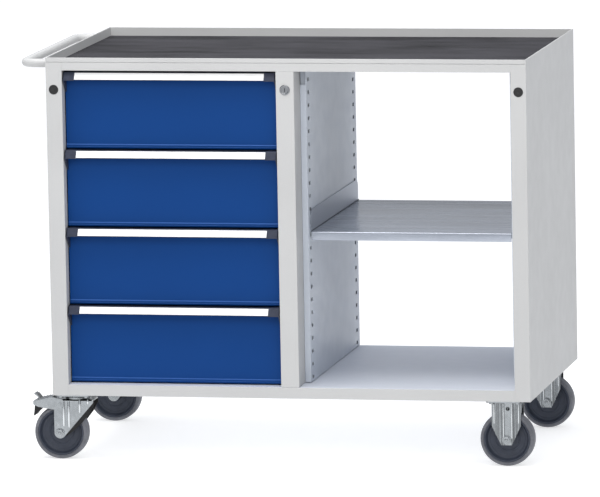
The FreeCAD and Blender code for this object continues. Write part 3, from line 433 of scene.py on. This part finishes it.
def turned(bm, axis, centre, profile, steps=72, closed=True):
    """A profile of (radius, place along the axis), in millimetres, turned about an axis through centre."""
    along = {"X": 0, "Y": 1, "Z": 2}[axis]
    sides = [i for i in range(3) if i != along]
    rings = []
    for k in range(steps):
        angle = 2 * math.pi * k / steps
        ring = []
        for radius, length in profile:
            point = Vector((0, 0, 0))
            point[along] = length * MM
            point[sides[0]] = radius * math.cos(angle) * MM
            point[sides[1]] = radius * math.sin(angle) * MM
            ring.append(bm.verts.new(centre + point))
        rings.append(ring)
    count = len(profile)
    spans = count if closed else count - 1
    for k in range(steps):
        here, ahead = rings[k], rings[(k + 1) % steps]
        for i in range(spans):
            j = (i + 1) % count
            bm.faces.new((here[i], here[j], ahead[j], ahead[i]))
    bmesh.ops.remove_doubles(bm, verts=bm.verts, dist=0.001 * MM)


def add_piece(name, bm, body, slot=None, finish=None, stands_for=(), edge=0.0, shift=(0, 0, 0)):
    """Turn the bmesh into a piece that rides on a body; edge rounds its sharp edges, in millimetres."""
    bmesh.ops.translate(bm, verts=bm.verts, vec=Vector(shift))
    bmesh.ops.recalc_face_normals(bm, faces=bm.faces)
    mesh = bpy.data.meshes.new(name)
    bm.to_mesh(mesh)
    bm.free()
    mesh.materials.append(finish or SLOT_FINISHES[slot])
    mesh.shade_smooth()
    mesh.set_sharp_from_angle(angle=math.radians(38))
    piece = bpy.data.objects.new(name, mesh)
    bpy.context.scene.collection.objects.link(piece)
    if edge:
        round_sharp_edges(piece, edge)
    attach(piece, body)
    if stands_for:
        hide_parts(*stands_for)
    return piece


def round_sharp_edges(piece, width):
    bevel = piece.modifiers.new("rounded_edges", "BEVEL")
    bevel.width = width * MM
    bevel.segments = 2
    bevel.limit_method = "ANGLE"
    bevel.angle_limit = math.radians(38)
    bevel.harden_normals = True
    bevel.use_clamp_overlap = True


def middle(node):
    low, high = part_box(node)
    return (low + high) / 2


# ---------------------------------------------------------------- carried-over CAD nodes

FOLDED_NODES = ("left_side_panel", "right_side_panel", "centre_partition", "floor_panel", "worktop_tray",
                "top_front_rail", "slotted_linings")


def dress_cad_nodes():
    """Give every CAD node its finish; the folded and pressed ones get softened edges."""
    for node, piece in frame["nodes"].items():
        finish = NODE_FINISHES.get(node, SLOT_FINISHES[SLOT_OF_NODE[node]])
        if not piece.material_slots:
            piece.data.materials.append(finish)
        for material_slot in piece.material_slots:
            material_slot.material = finish
        if node in FOLDED_NODES:
            weld = piece.modifiers.new("joined_faces", "WELD")
            weld.merge_threshold = 0.002 * MM
            round_sharp_edges(piece, 0.7)


# ---------------------------------------------------------------- worktop

def rubber_mat():
    """The mat with a fine rib every three millimetres along its length."""
    low, high = (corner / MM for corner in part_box("rubber_mat"))
    pitch, land, depth = 3.0, 1.7, 0.45
    count = int((high.y - low.y) / pitch)
    outline = [(low.y, low.z), (high.y, low.z), (high.y, high.z)]
    for k in range(count, 0, -1):
        rib = low.y + k * pitch - 0.6
        outline += [(rib, high.z), (rib - 0.2, high.z - depth), (rib - pitch + land + 0.2, high.z - depth),
                    (rib - pitch + land, high.z)]
    outline += [(low.y, high.z)]
    bm = bmesh.new()
    prism(bm, "YZ", outline, low.x, high.x)
    add_piece("ribbed_mat", bm, "cabinet", "mat_rubber", stands_for=["rubber_mat"])


def hole_plugs():
    """Two domed plugs with a rim and a small dimple."""
    bm = bmesh.new()
    low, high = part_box("post_hole_plugs")
    head = (high.z - low.z) / 2 / MM
    for x in (low.x + head * MM, high.x - head * MM):
        centre = Vector((x, low.y, (low.z + high.z) / 2))
        profile = [(0, 0.55), (1.3, 0.5), (1.9, 0.1), (head * 0.55, 0.0), (head - 2.2, 0.12),
                   (head - 1.6, 0.3), (head - 1.0, 0.16), (head - 0.3, 0.4), (head, 0.9), (head, 1.0),
                   (head - 2.25, 1.0), (head - 2.25, 9.0), (0, 9.0)]
        turned(bm, "Y", centre, profile, steps=48, closed=False)
    add_piece("hole_plugs", bm, "cabinet", "plug_plastic", stands_for=["post_hole_plugs"])


def push_handle():
    """The bent tube with a weld bead where each end meets the side."""
    low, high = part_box("push_handle")
    level = (low.z + high.z) / 2
    tube = (high.z - low.z) / 2
    wall_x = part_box("left_side_panel")[0].x
    bar_x = CAD_BOX[0].x + tube
    near, far = low.y + tube, high.y - tube
    bend = 38 * MM
    corners = [(wall_x, near), (bar_x, near, bend), (bar_x, far, bend), (wall_x, far)]
    route = rounded(corners, steps=14)
    curve = bpy.data.curves.new("handle_route", "CURVE")
    curve.dimensions = "3D"
    spline = curve.splines.new("POLY")
    spline.points.add(len(route) - 1)
    for point, place in zip(spline.points, route):
        point.co = (place[0], place[1], level, 1.0)
    curve.bevel_depth = tube
    curve.bevel_resolution = 8
    holder = bpy.data.objects.new("handle_route", curve)
    bm = bmesh.new()
    bm.from_mesh(bpy.data.meshes.new_from_object(holder))
    bpy.data.objects.remove(holder)
    for place in (near, far):
        bead = arc((tube / MM + 0.6, -0.4), 2.2, 180, 0, 8)
        turned(bm, "X", Vector((wall_x, place, level)), [(r, -abs(x) * 0.9) for r, x in bead], steps=40)
    add_piece("bent_push_handle", bm, "cabinet", "cabinet_paint", stands_for=["push_handle"])


# ---------------------------------------------------------------- drawers

def drawer_front(number):
    """The folded front with rounded edges and a grooved bead along its lower edge."""
    low, high = (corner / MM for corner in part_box(f"drawer_{number}_front"))
    face, skin = low.y + 1.5, 1.2
    bottom, top, back = low.z, high.z, high.y
    outline = [(back, bottom), (face, bottom, 0.9), (low.y, bottom + 2.4, 1.3), (low.y, bottom + 4.4, 0.2),
               (low.y + 0.7, bottom + 5.2, 0.1), (low.y, bottom + 5.8, 0.3), (low.y, bottom + 8.4, 0.6),
               (face, bottom + 10.8, 0.5), (face, top, 1.6), (back, top), (back, top - skin),
               (face + skin, top - skin), (face + skin, bottom + skin), (back, bottom + skin)]
    bm = bmesh.new()
    prism(bm, "YZ", rounded(outline), low.x, high.x)
    for left in (low.x, high.x - skin):
        prism(bm, "YZ", rounded([(face + 0.1, bottom + 0.1, 1.4), (face + 0.1, top - 0.1, 1.4),
                                 (back, top - 0.1), (back, bottom + 0.1)]), left, left + skin)
    add_piece(f"drawer_{number}_pressed_front", bm, f"drawer_{number}", "drawer_front_paint",
              stands_for=[f"drawer_{number}_front"], edge=0.5)


def grip_outline(front, slope_back, low, top, back, back_low, wall):
    """The hooked section: sloping face, top and back wall round the finger space."""
    return [(front, low, 0.5), (slope_back, top, 1.2), (back, top, 1.6), (back, back_low, 0.5),
            (back - wall, back_low, 0.5), (back - wall, top - wall, 0.6),
            (slope_back + wall * 0.6, top - wall, 0.6), (front + wall * 1.25, low, 0.5)]


def drawer_grip(number):
    """The grip rail, its two end caps and the label card on its sloping face."""
    rail_low, rail_high = (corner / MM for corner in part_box(f"drawer_{number}_grip_rail"))
    cap_low, cap_high = (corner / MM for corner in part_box(f"drawer_{number}_grip_end_caps"))
    body = f"drawer_{number}"
    face = cap_high.y
    rail_bottom = rail_high.z - 17.5
    bm = bmesh.new()
    outline = grip_outline(rail_low.y, rail_low.y + 10, rail_bottom, rail_high.z, face, rail_low.z, 2.0)
    prism(bm, "YZ", rounded(outline, steps=4), rail_low.x, rail_high.x)
    add_piece(f"{body}_grip_moulding", bm, body, "grip_plastic", stands_for=[f"{body}_grip_rail"])

    bm = bmesh.new()
    cap_bottom = cap_high.z - 19
    outline = grip_outline(cap_low.y, cap_low.y + 10, cap_bottom, cap_high.z, face, cap_high.z - 21, 2.4)
    cheek = [(cap_low.y, cap_bottom, 0.8), (cap_low.y + 10, cap_high.z, 1.5), (face, cap_high.z, 1.0),
             (face, cap_low.z, 1.0), (face - 5, cap_low.z + 5, 6.0)]
    cheek_wall = 3
    for left, right, cheek_left in ((cap_low.x, rail_low.x, cap_low.x),
                                    (rail_high.x, cap_high.x, cap_high.x - cheek_wall)):
        prism(bm, "YZ", rounded(outline, steps=4), left, right)
        prism(bm, "YZ", rounded(cheek, steps=4), cheek_left, cheek_left + cheek_wall)
    add_piece(f"{body}_grip_caps", bm, body, "grip_plastic", stands_for=[f"{body}_grip_end_caps"], edge=0.35)

    rise = rail_high.z - rail_bottom
    length = math.hypot(10, rise)
    along = Vector((10, rise)) / length
    out = Vector((-along.y, along.x))
    start = Vector((rail_low.y, rail_bottom))
    corners = [start + along * 1.5, start + along * (length - 1.6)]
    outline = [corners[0], corners[0] + out * 0.6, corners[1] + out * 0.6, corners[1]]
    bm = bmesh.new()
    prism(bm, "YZ", rounded([tuple(p) for p in outline], 0.2, 2), rail_low.x + 0.3, rail_high.x - 0.3)
    add_piece(f"{body}_label_card", bm, body, finish=LABEL_CARD)


# ---------------------------------------------------------------- lock

def lock():
    """The chrome rim with a domed edge, and the core with its key slot."""
    low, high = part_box("lock_housing")
    core_low, core_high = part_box("lock_cylinder")
    centre = Vector(((low.x + high.x) / 2, low.y, (low.z + high.z) / 2))
    rim = (high.x - low.x) / 2 / MM
    bore = (core_high.x - core_low.x) / 2 / MM + 0.05
    depth = (high.y - low.y) / MM
    profile = [(bore, 0.5), (bore + 0.5, 0.1), (rim - 1.6, 0.0), (rim - 0.5, 0.35), (rim, 1.1), (rim, 2.0),
               (rim - 2.5, 2.0), (rim - 2.5, depth), (bore, depth)]
    bm = bmesh.new()
    turned(bm, "Y", centre, profile, steps=64)
    add_piece("lock_rim", bm, "cabinet", "lock_chrome", stands_for=["lock_housing"])

    bm = bmesh.new()
    core = (core_high.x - core_low.x) / 2 / MM
    start = (core_low.y - low.y) / MM
    end = (core_high.y - low.y) / MM
    slot_half, slot_reach, slot_deep = 0.8, 4.5, 7.0
    slot = rounded([(-slot_half, -slot_reach), (slot_half, -slot_reach), (slot_half, slot_reach),
                    (-slot_half, slot_reach)], 0.5, 3)
    plate(bm, "XZ", [circle((0, 0), core, 48), slot], start, slot_deep)
    prism(bm, "XZ", circle((0, 0), core, 48), slot_deep + 0.01, end)
    add_piece("lock_core_plug", bm, "lock_core", "lock_chrome", stands_for=["lock_cylinder"], edge=0.3,
              shift=centre)


# ---------------------------------------------------------------- casters

def wheel_disc(corner):
    """The moulded wheel: hub, dished web with two raised rings, and the rim."""
    low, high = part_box(f"{corner}_wheel")
    centre = (low + high) / 2
    half = (high.y - low.y) / 2 / MM
    rim = (high.x - low.x) / 2 / MM
    rim_half = 17.0
    side = [(AXLE_HOLE, half), (11.5, half), (13, half - 1.5, 2), (14, 9, 2), (19, 6, 3), (26, 5.4),
            (27, 6.4, 0.8), (29, 6.4, 0.8), (30, 5.4), (40, 5.4, 2), (42, 6.6, 1.5), (rim - 8, 7.0, 2),
            (rim - 5, 14.0, 2), (rim - 3.6, rim_half, 1.2), (rim, rim_half, 0.8)]
    profile = side + [(r[0], -r[1], *r[2:]) for r in reversed(side)]
    bm = bmesh.new()
    turned(bm, "Y", centre, rounded(profile, steps=4), steps=96)
    add_piece(f"{corner}_wheel_disc", bm, f"{corner}_roller", "wheel_plastic", stands_for=[f"{corner}_wheel"])


def tread_ring(corner):
    """The grey tread with bulged sides and a groove beside each bead."""
    low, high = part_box(f"{corner}_tyre")
    centre = (low + high) / 2
    half = (high.y - low.y) / 2 / MM
    radius = (high.z - low.z) / 2 / MM
    bead = (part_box(f"{corner}_wheel")[1].x - centre.x) / MM
    side = [(bead + 0.05, 16.9), (bead + 0.3, half - 1.6, 0.4), (bead + 1.4, half - 0.5, 0.6),
            (bead + 2.2, half - 1.1, 0.4), (bead + 3.0, half - 0.3, 0.5), (bead + 4.6, half, 2),
            (60.4, half - 1.6, 2.5), (62.0, half - 5.0, 3), (radius, half - 9.0, 4)]
    profile = side + [(r[0], -r[1], *r[2:]) for r in reversed(side)]
    bm = bmesh.new()
    turned(bm, "Y", centre, rounded(profile, steps=4), steps=120)
    add_piece(f"{corner}_tread_ring", bm, f"{corner}_roller", "tyre_rubber", stands_for=[f"{corner}_tyre"])


def ridge(bm, x, low, high, face, outward, half_width=3.0, height=1.5):
    """A pressed rib on a leg: a half-round ridge with tapered ends, standing off the face."""
    steps = 8
    stations = [(low, 0.0), (low + 4, 1.0), (high - 4, 1.0), (high, 0.0)]
    rings = []
    for level, share in stations:
        ring = []
        for k in range(steps + 1):
            angle = math.pi * k / steps
            rise = height * math.sin(angle) * share
            ring.append(bm.verts.new(Vector((x - half_width * math.cos(angle) * max(share, 0.3),
                                             face + outward * (rise - 0.05), level)) * MM))
        rings.append(ring)
    for lower, upper in zip(rings, rings[1:]):
        for k in range(steps):
            bm.faces.new((lower[k], lower[k + 1], upper[k + 1], upper[k]))


def bolt_head(bm, axis, centre, radius, height, way):
    """A washer, a chamfered hexagon and the domed bolt end, growing along the axis in direction way."""
    washer = [(0, 0.0), (radius * 1.25, 0.0), (radius * 1.25, way * 0.9), (radius * 1.15, way * 1.1),
              (0, way * 1.1)]
    turned(bm, axis, centre, washer, steps=36, closed=False)
    plane = {"Y": "XZ", "Z": "XY"}[axis]
    start, end = sorted((way * 1.1, way * height))
    local = bmesh.new()
    prism(local, plane, circle((0, 0), radius, 6), start, end)
    bmesh.ops.translate(local, verts=local.verts, vec=centre)
    merge(bm, local)
    turned(bm, axis, centre, [(0, way * (height + 0.9)), (radius * 0.3, way * (height + 0.8)),
                              (radius * 0.45, way * (height + 0.2)), (radius * 0.45, way * (height - 0.5))],
           steps=24, closed=False)


def axle_bolt(bm, centre):
    """A shank along Y through centre, with a washer and a hexagon at each end."""
    shank = [(0, -AXLE_FACE), (AXLE_RADIUS, -AXLE_FACE), (AXLE_RADIUS, AXLE_FACE), (0, AXLE_FACE)]
    turned(bm, "Y", centre, shank, steps=32, closed=False)
    for way in (-1, 1):
        bolt_head(bm, "Y", centre + Vector((0, way * AXLE_FACE * MM, 0)), 8.6, 4.2, way)


def swivel_fork(corner):
    """The fork: two pressed legs with ribs in brighter zinc as a painted highlight, the crown between them,
    the turning race, and dark strips of painted shade inside the legs.
    """
    node = f"{corner}_caster_fork"
    wheel = middle(f"{corner}_wheel")
    origin = Vector((wheel.x, wheel.y, 0))
    level = wheel.z / MM
    gap, wall = 21.5, 2.5
    boss = 13.5
    rear = SWIVEL_OFFSET + 42
    leg = [(-boss, CROWN_TOP, 5), (-boss, level), *arc((0, level), boss, 195, 316, 12),
           (rear, CROWN_TOP - 8, 2), (rear, CROWN_TOP, 2)]
    hole = circle((0, level), AXLE_HOLE)
    bm = bmesh.new()
    for start, end in ((-gap - wall, -gap), (gap, gap + wall)):
        plate(bm, "XZ", [rounded(leg, steps=4), hole], start, end)
    crown = rounded([(-12, -gap - wall), (rear, -gap - wall), (rear, gap + wall), (-12, gap + wall)], 3, 4)
    kingpin_hole = 6.05
    centre_hole = [(SWIVEL_OFFSET + x, y) for x, y in circle((0, 0), kingpin_hole)]
    plate(bm, "XY", [crown, centre_hole], CROWN_TOP - 3.7, CROWN_TOP)
    race = [(kingpin_hole, CROWN_TOP), (20, CROWN_TOP), (28, CROWN_TOP, 0.5), (28.0, RACE_TOP - 1.0, 1.0),
            (25.5, RACE_TOP, 0.8), (kingpin_hole, RACE_TOP)]
    turned(bm, "Z", Vector((SWIVEL_OFFSET * MM, 0, 0)), rounded(race, steps=3), steps=64)
    add_piece(f"{corner}_pressed_fork", bm, f"{corner}_fork", "zinc_plated_steel", stands_for=[node],
              edge=0.5, shift=origin)

    bm = bmesh.new()
    for rib, low_end, high_end in ((9.3, level + 15, CROWN_TOP - 3), (21.7, level + 12, CROWN_TOP - 3),
                                   (47.6, level + 46, CROWN_TOP - 1), (67, 130, CROWN_TOP)):
        for outward in (-1, 1):
            ridge(bm, rib, low_end, high_end, outward * (gap + wall), outward)
    # The ribs carry a painted highlight in brighter zinc.
    add_piece(f"{corner}_fork_ribs", bm, f"{corner}_fork", finish=HIGHLIGHT_ZINC, shift=origin)

    # Painted shade: dark strips inside the legs along their sloping edge stand in for the shaded inner faces
    # of the legs.
    leg_shade_outline = [(12, 54), (20, 58), (33, 68), (53, 87), (71, 110), (82, 131), (80, 138.5), (60, 138.5)]
    bm = bmesh.new()
    for start, end in ((-gap + 0.05, -gap + 1.5), (gap - 1.5, gap - 0.05)):
        prism(bm, "XZ", rounded(leg_shade_outline, 3, 4), start, end)
    add_piece(f"{corner}_leg_shade_strips", bm, f"{corner}_fork", finish=SHOE_RUBBER, shift=origin)


def caster_axle(corner):
    """The axle bolt of a swivel caster."""
    node = f"{corner}_caster_axle"
    low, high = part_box(node)
    bm = bmesh.new()
    axle_bolt(bm, (low + high) / 2)
    add_piece(f"{corner}_axle_bolt", bm, f"{corner}_fork", "zinc_plated_steel", stands_for=[node], edge=0.3)


def brake_pedal(corner):
    """The foot lever: two pressed cheeks, a ribbed tread with a rolled tab, and its pivot pins."""
    wheel = middle(f"{corner}_wheel")
    origin = Vector((wheel.x, wheel.y, 0))
    inner, outer = 25.2, 27.2
    cheek = [(10, 124, 3), (10, 141, 5), (-18, 146, 6), (-62, 137, 1), (-62, 128, 3), (-50, 123, 4),
             (-28, 119, 4), (-12, 117, 4), (2, 120, 4)]
    bm = bmesh.new()
    for start, end in ((-outer, -inner), (inner, outer)):
        prism(bm, "XZ", rounded(cheek, steps=4), start, end)
    tread = [(-18, 146, 1)]
    for k in range(5):
        across = -26 - 7 * k
        level = 146 + (across + 18) * 9 / 44
        tread += [(across + 2, level + 0.4), (across, level + 1.3, 1), (across - 2, level)]
    tread += [(-62, 137, 1), (-62, 135), (-18, 144)]
    prism(bm, "XZ", rounded(tread, steps=3), -inner, inner)
    tab = [(-51, 138), (-56, 146, 3), (-62, 149.8, 2), (-63.4, 151.8, 1), (-61.5, 153.4, 1), (-55, 150, 4),
           (-46.5, 139.5)]
    prism(bm, "XZ", rounded(tab, steps=4), -13, 13)
    for start, end in ((-outer - 1.2, -20.5), (20.5, outer + 1.2)):
        prism(bm, "XZ", circle((2, 131), 3), start, end)
    node = f"{corner}_brake_pedal"
    add_piece(f"{corner}_foot_lever", bm, f"{corner}_brake", "zinc_plated_steel", stands_for=[node], edge=0.4,
              shift=origin)

    shoe = [(-60, 136.2, 1), (-41, 140, 1), (-38, 124, 4), (-46, 116, 5), (-56, 107.5, 4), (-65, 96, 2),
            (-62, 112, 5), (-61, 122, 4)]
    bm = bmesh.new()
    prism(bm, "XZ", rounded(shoe, steps=4), -17, 17)
    add_piece(f"{corner}_brake_shoe", bm, f"{corner}_brake", finish=SHOE_RUBBER, edge=0.8, shift=origin)


def bump(x, places):
    """Sum of smooth bumps; each is its centre, height and half width."""
    total = 0.0
    for centre, height, half in places:
        if abs(x - centre) < half:
            total += height * (1 + math.cos(math.pi * (x - centre) / half)) / 2
    return total


FLUTES = ((-30.5, 0.8, 3.0), (-23.5, 1.5, 4.0), (-14.5, -2.0, 6.0), (-6.5, 1.5, 3.2), (14.2, 1.5, 2.8),
          (20.4, -1.7, 4.4), (28.7, 1.5, 4.6))


def fluted_leg(bm, side):
    """One leg of a fixed caster: a pressed, tapering sheet with flutes and a hole; side is -1 or 1."""
    top, taper, low = PLATE_LOW, 94.0, 49.5
    half_width, flat_left, flat_right = 33.5, -3.0, 11.0
    taper_run = 21.0
    steps = 44
    for start, end in ((-half_width, flat_left), (flat_right, half_width)):
        places = [start + (end - start) * k / steps for k in range(steps + 1)]
        outer = [(x, side * (LEG_OUTER + bump(x, FLUTES))) for x in places]
        inner = [(x, side * (LEG_INNER + bump(x, FLUTES))) for x in reversed(places)]
        part = bmesh.new()
        prism(part, "XY", outer + inner, low, top)
        for way in (-1, 1):
            edge_point = Vector((way * half_width, 0, taper)) * MM
            edge_normal = Vector((way * (taper - low), 0, -taper_run)).normalized()
            bmesh.ops.bisect_plane(part, geom=part.verts[:] + part.edges[:] + part.faces[:],
                                   plane_co=edge_point, plane_no=edge_normal, clear_outer=True)
            bmesh.ops.holes_fill(part, edges=part.edges)
        merge(bm, part)
    flat = [(flat_left, low), (flat_right, low), (flat_right, top), (flat_left, top)]
    start, end = sorted((side * LEG_INNER, side * LEG_OUTER))
    plate(bm, "XZ", [flat, circle((4, 134), 4.6)], start, end)


def caster_plate(bm):
    """A bolted top plate with rounded corners, centred on the origin."""
    rim = rounded([(-42.5, -52.5), (42.5, -52.5), (42.5, 52.5), (-42.5, 52.5)], 8, 6)
    holes = [circle(place, 4.5) for place in PLATE_BOLTS]
    plate(bm, "XY", [rim, *holes], PLATE_LOW, CABINET_LOW)


def fixed_brackets():
    """The two fixed brackets: top plate and two fluted legs each, with a painted highlight of brighter zinc
    along the flute crests.
    """
    bm = bmesh.new()
    crests = bmesh.new()
    for corner in FIXED_CORNERS:
        wheel = middle(f"{corner}_wheel")
        single = bmesh.new()
        caster_plate(single)
        crest = bmesh.new()
        for side in (-1, 1):
            fluted_leg(single, side)
            for x, foot in ((-28.0, 98), (-6.5, 66), (13.0, 64), (29.0, 100)):
                face = side * (LEG_OUTER + bump(x, FLUTES))
                ridge(crest, x, foot, 150, face, side, half_width=1.5, height=0.7)
        for part, whole in ((single, bm), (crest, crests)):
            bmesh.ops.translate(part, verts=part.verts, vec=Vector((wheel.x, wheel.y, 0)))
            merge(whole, part)
    add_piece("fluted_brackets", bm, "cabinet", "zinc_plated_steel", stands_for=["fixed_caster_brackets"],
              edge=0.4)
    add_piece("bracket_crests", crests, "cabinet", finish=HIGHLIGHT_ZINC)


def swivel_plates():
    """The swivel casters' top plates with the fixed race, kingpin and riveted head."""
    bm = bmesh.new()
    for corner in SWIVEL_CORNERS:
        wheel = middle(f"{corner}_wheel")
        centre = Vector((wheel.x + SWIVEL_OFFSET * MM, wheel.y, 0))
        single = bmesh.new()
        caster_plate(single)
        race = [(0, 134.4, 1), (7.5, 134.4, 1), (9, 136, 1), (9, 137.7), (6, 137.7), (6, 148), (24, 148, 1),
                (26, 149.5, 1), (26, PLATE_LOW), (0, PLATE_LOW)]
        turned(single, "Z", Vector((0, 0, 0)), rounded(race, steps=3), steps=64, closed=False)
        bmesh.ops.translate(single, verts=single.verts, vec=centre)
        merge(bm, single)
    add_piece("swivel_plates", bm, "cabinet", "zinc_plated_steel", stands_for=["swivel_caster_plates"],
              edge=0.3)


def bolts():
    """Plate bolts of every caster and the axle bolts of the fixed ones."""
    bm = bmesh.new()
    for corner in CORNERS:
        wheel = middle(f"{corner}_wheel")
        shift = SWIVEL_OFFSET * MM if corner in SWIVEL_CORNERS else 0
        for x, y in PLATE_BOLTS:
            place = Vector((wheel.x + shift + x * MM, wheel.y + y * MM, 0))
            under = place + Vector((0, 0, PLATE_LOW * MM))
            bolt_head(bm, "Z", under, 6.6, 4.2, -1)
            shank = [(0, PLATE_LOW), (4, PLATE_LOW), (4, 162), (0, 162)]
            turned(bm, "Z", place, shank, steps=24, closed=False)
            bolt_head(bm, "Z", place + Vector((0, 0, (CABINET_LOW + 3) * MM)), 6.6, 4.6, 1)
        if corner in FIXED_CORNERS:
            axle_bolt(bm, wheel)
    add_piece("mounting_bolts", bm, "cabinet", "zinc_plated_steel", stands_for=["caster_bolts"], edge=0.25)


def folded_shelf():
    """The galvanised shelf with bent edges and two upstands with rounded corners, and a dark strip of painted
    shade along each fold.
    """
    low, high = (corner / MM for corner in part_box("adjustable_shelf"))
    top, skin = high.z - 50, 1.5
    deck = [(low.y, low.z), (low.y, top, 2.2), (high.y, top, 2.2), (high.y, low.z), (high.y - skin, low.z),
            (high.y - skin, top - skin, 0.8), (low.y + skin, top - skin, 0.8), (low.y + skin, low.z)]
    bm = bmesh.new()
    fold = skin + 1.6
    prism(bm, "YZ", rounded(deck, steps=5), low.x + fold, high.x - fold)
    upstand = [(low.y + 2, top - skin), (low.y + 2, high.z, 20), (high.y, high.z, 20), (high.y, top - skin)]
    for left in (low.x, high.x - skin):
        prism(bm, "YZ", rounded(upstand, steps=8), left, left + skin)
    front, web_top = low.y + 2, top - 1.6
    web = [(front, top - 3), (high.y, top - 3), (high.y, web_top), (front, web_top)]
    for left, right in ((low.x, low.x + fold), (high.x - fold, high.x)):
        prism(bm, "YZ", web, left, right)
    # Painted shade: a dark strip along each fold between deck and upstand.
    fold_shade_mesh = bmesh.new()
    fold_shade_outline = [(front, web_top), (high.y, web_top), (high.y, top + 1.4), (front, top + 1.4)]
    for left in (low.x + skin, high.x - fold):
        prism(fold_shade_mesh, "YZ", fold_shade_outline, left, left + fold - skin)
    add_piece("shelf_fold_shade", fold_shade_mesh, "shelf", finish=FOLD_SHADE)
    add_piece("folded_shelf", bm, "shelf", "galvanised_steel", stands_for=["adjustable_shelf"], edge=0.3)


# ---------------------------------------------------------------- camera, light and floor

def camera():
    """A long lens far in front, a little to the right and looking slightly down."""
    azimuth, elevation, roll = (math.radians(a) for a in (11.84, 7.89, -1.06))
    distance = 16.543
    target = Vector((0.005, -0.024, 0.461))
    back = Vector((math.sin(azimuth) * math.cos(elevation), -math.cos(azimuth) * math.cos(elevation),
                   math.sin(elevation)))
    level_right = Vector((math.cos(azimuth), math.sin(azimuth), 0))
    level_up = back.cross(level_right)
    right = math.cos(roll) * level_right + math.sin(roll) * level_up
    up = math.cos(roll) * level_up - math.sin(roll) * level_right
    data = bpy.data.cameras.new("camera")
    data.sensor_width = 36
    data.lens = 425.82
    data.clip_end = 200
    viewer = bpy.data.objects.new("camera", data)
    turn = Matrix((right, up, back)).transposed().to_4x4()
    viewer.matrix_world = Matrix.Translation(target + back * distance) @ turn
    bpy.context.scene.collection.objects.link(viewer)
    bpy.context.scene.camera = viewer


def softbox(name, place, aim, width, height, power, colour):
    data = bpy.data.lights.new(name, "AREA")
    data.shape = "RECTANGLE"
    data.size = width
    data.size_y = height
    data.energy = power
    data.color = colour
    light = bpy.data.objects.new(name, data)
    light.location = place
    light.rotation_euler = (Vector(aim) - Vector(place)).to_track_quat("-Z", "Y").to_euler()
    bpy.context.scene.collection.objects.link(light)


def lights():
    """Soft studio light: a bright ceiling, greyer walls, and two softboxes."""
    world = bpy.data.worlds.new("studio")
    bpy.context.scene.world = world
    world.use_nodes = True
    nodes, links = world.node_tree.nodes, world.node_tree.links
    direction = nodes.new("ShaderNodeTexCoord").outputs["Generated"]
    split = nodes.new("ShaderNodeSeparateXYZ")
    links.new(direction, split.inputs[0])
    rise = nodes.new("ShaderNodeMapRange")
    rise.inputs["From Min"].default_value = -0.05
    rise.inputs["From Max"].default_value = 0.6
    rise.inputs["To Min"].default_value = 0.3
    rise.inputs["To Max"].default_value = 0.86
    links.new(split.outputs["Z"], rise.inputs["Value"])
    background = nodes["Background"]
    background.inputs["Color"].default_value = (0.955, 0.985, 1.04, 1.0)
    links.new(rise.outputs[0], background.inputs["Strength"])
    softbox("key", (0.5, -3.0, 2.1), (0, 0, 0.5), 2.4, 1.2, 30, (1.0, 0.965, 0.92))
    softbox("overhead", (-0.5, -0.5, 3.0), (-0.1, 0.0, 0.7), 2.2, 2.0, 60, (1.0, 0.99, 0.97))


def floor():
    mesh = bpy.data.meshes.new("floor")
    reach = 120.0
    corners = [(-reach, -reach, 0), (reach, -reach, 0), (reach, reach, 0), (-reach, reach, 0)]
    mesh.from_pydata(corners, [], [(0, 1, 2, 3)])
    finish = Finish("floor_look", specular=0.2)
    drift = finish.ranged(finish.noise(3.0, 2.0), 0.3, 0.7, 0.0, 1.0)
    finish.colour(finish.mixed(drift, (0.59, 0.59, 0.59, 1), (0.61, 0.61, 0.61, 1)))
    finish.shader.inputs["Roughness"].default_value = 0.8
    finish.shader.inputs["Emission Color"].default_value = (1.0, 1.0, 1.0, 1.0)
    finish.shader.inputs["Emission Strength"].default_value = 0.58
    mesh.materials.append(finish.material)
    plane = bpy.data.objects.new("floor", mesh)
    bpy.context.scene.collection.objects.link(plane)


dress_cad_nodes()
rubber_mat()
hole_plugs()
push_handle()
for drawer in DRAWERS:
    drawer_front(drawer)
    drawer_grip(drawer)
lock()
for corner in CORNERS:
    wheel_disc(corner)
    tread_ring(corner)
for corner in SWIVEL_CORNERS:
    swivel_fork(corner)
    caster_axle(corner)
    brake_pedal(corner)
fixed_brackets()
swivel_plates()
bolts()
folded_shelf()
camera()
lights()
floor()
bpy.context.scene.view_settings.view_transform = "Standard"
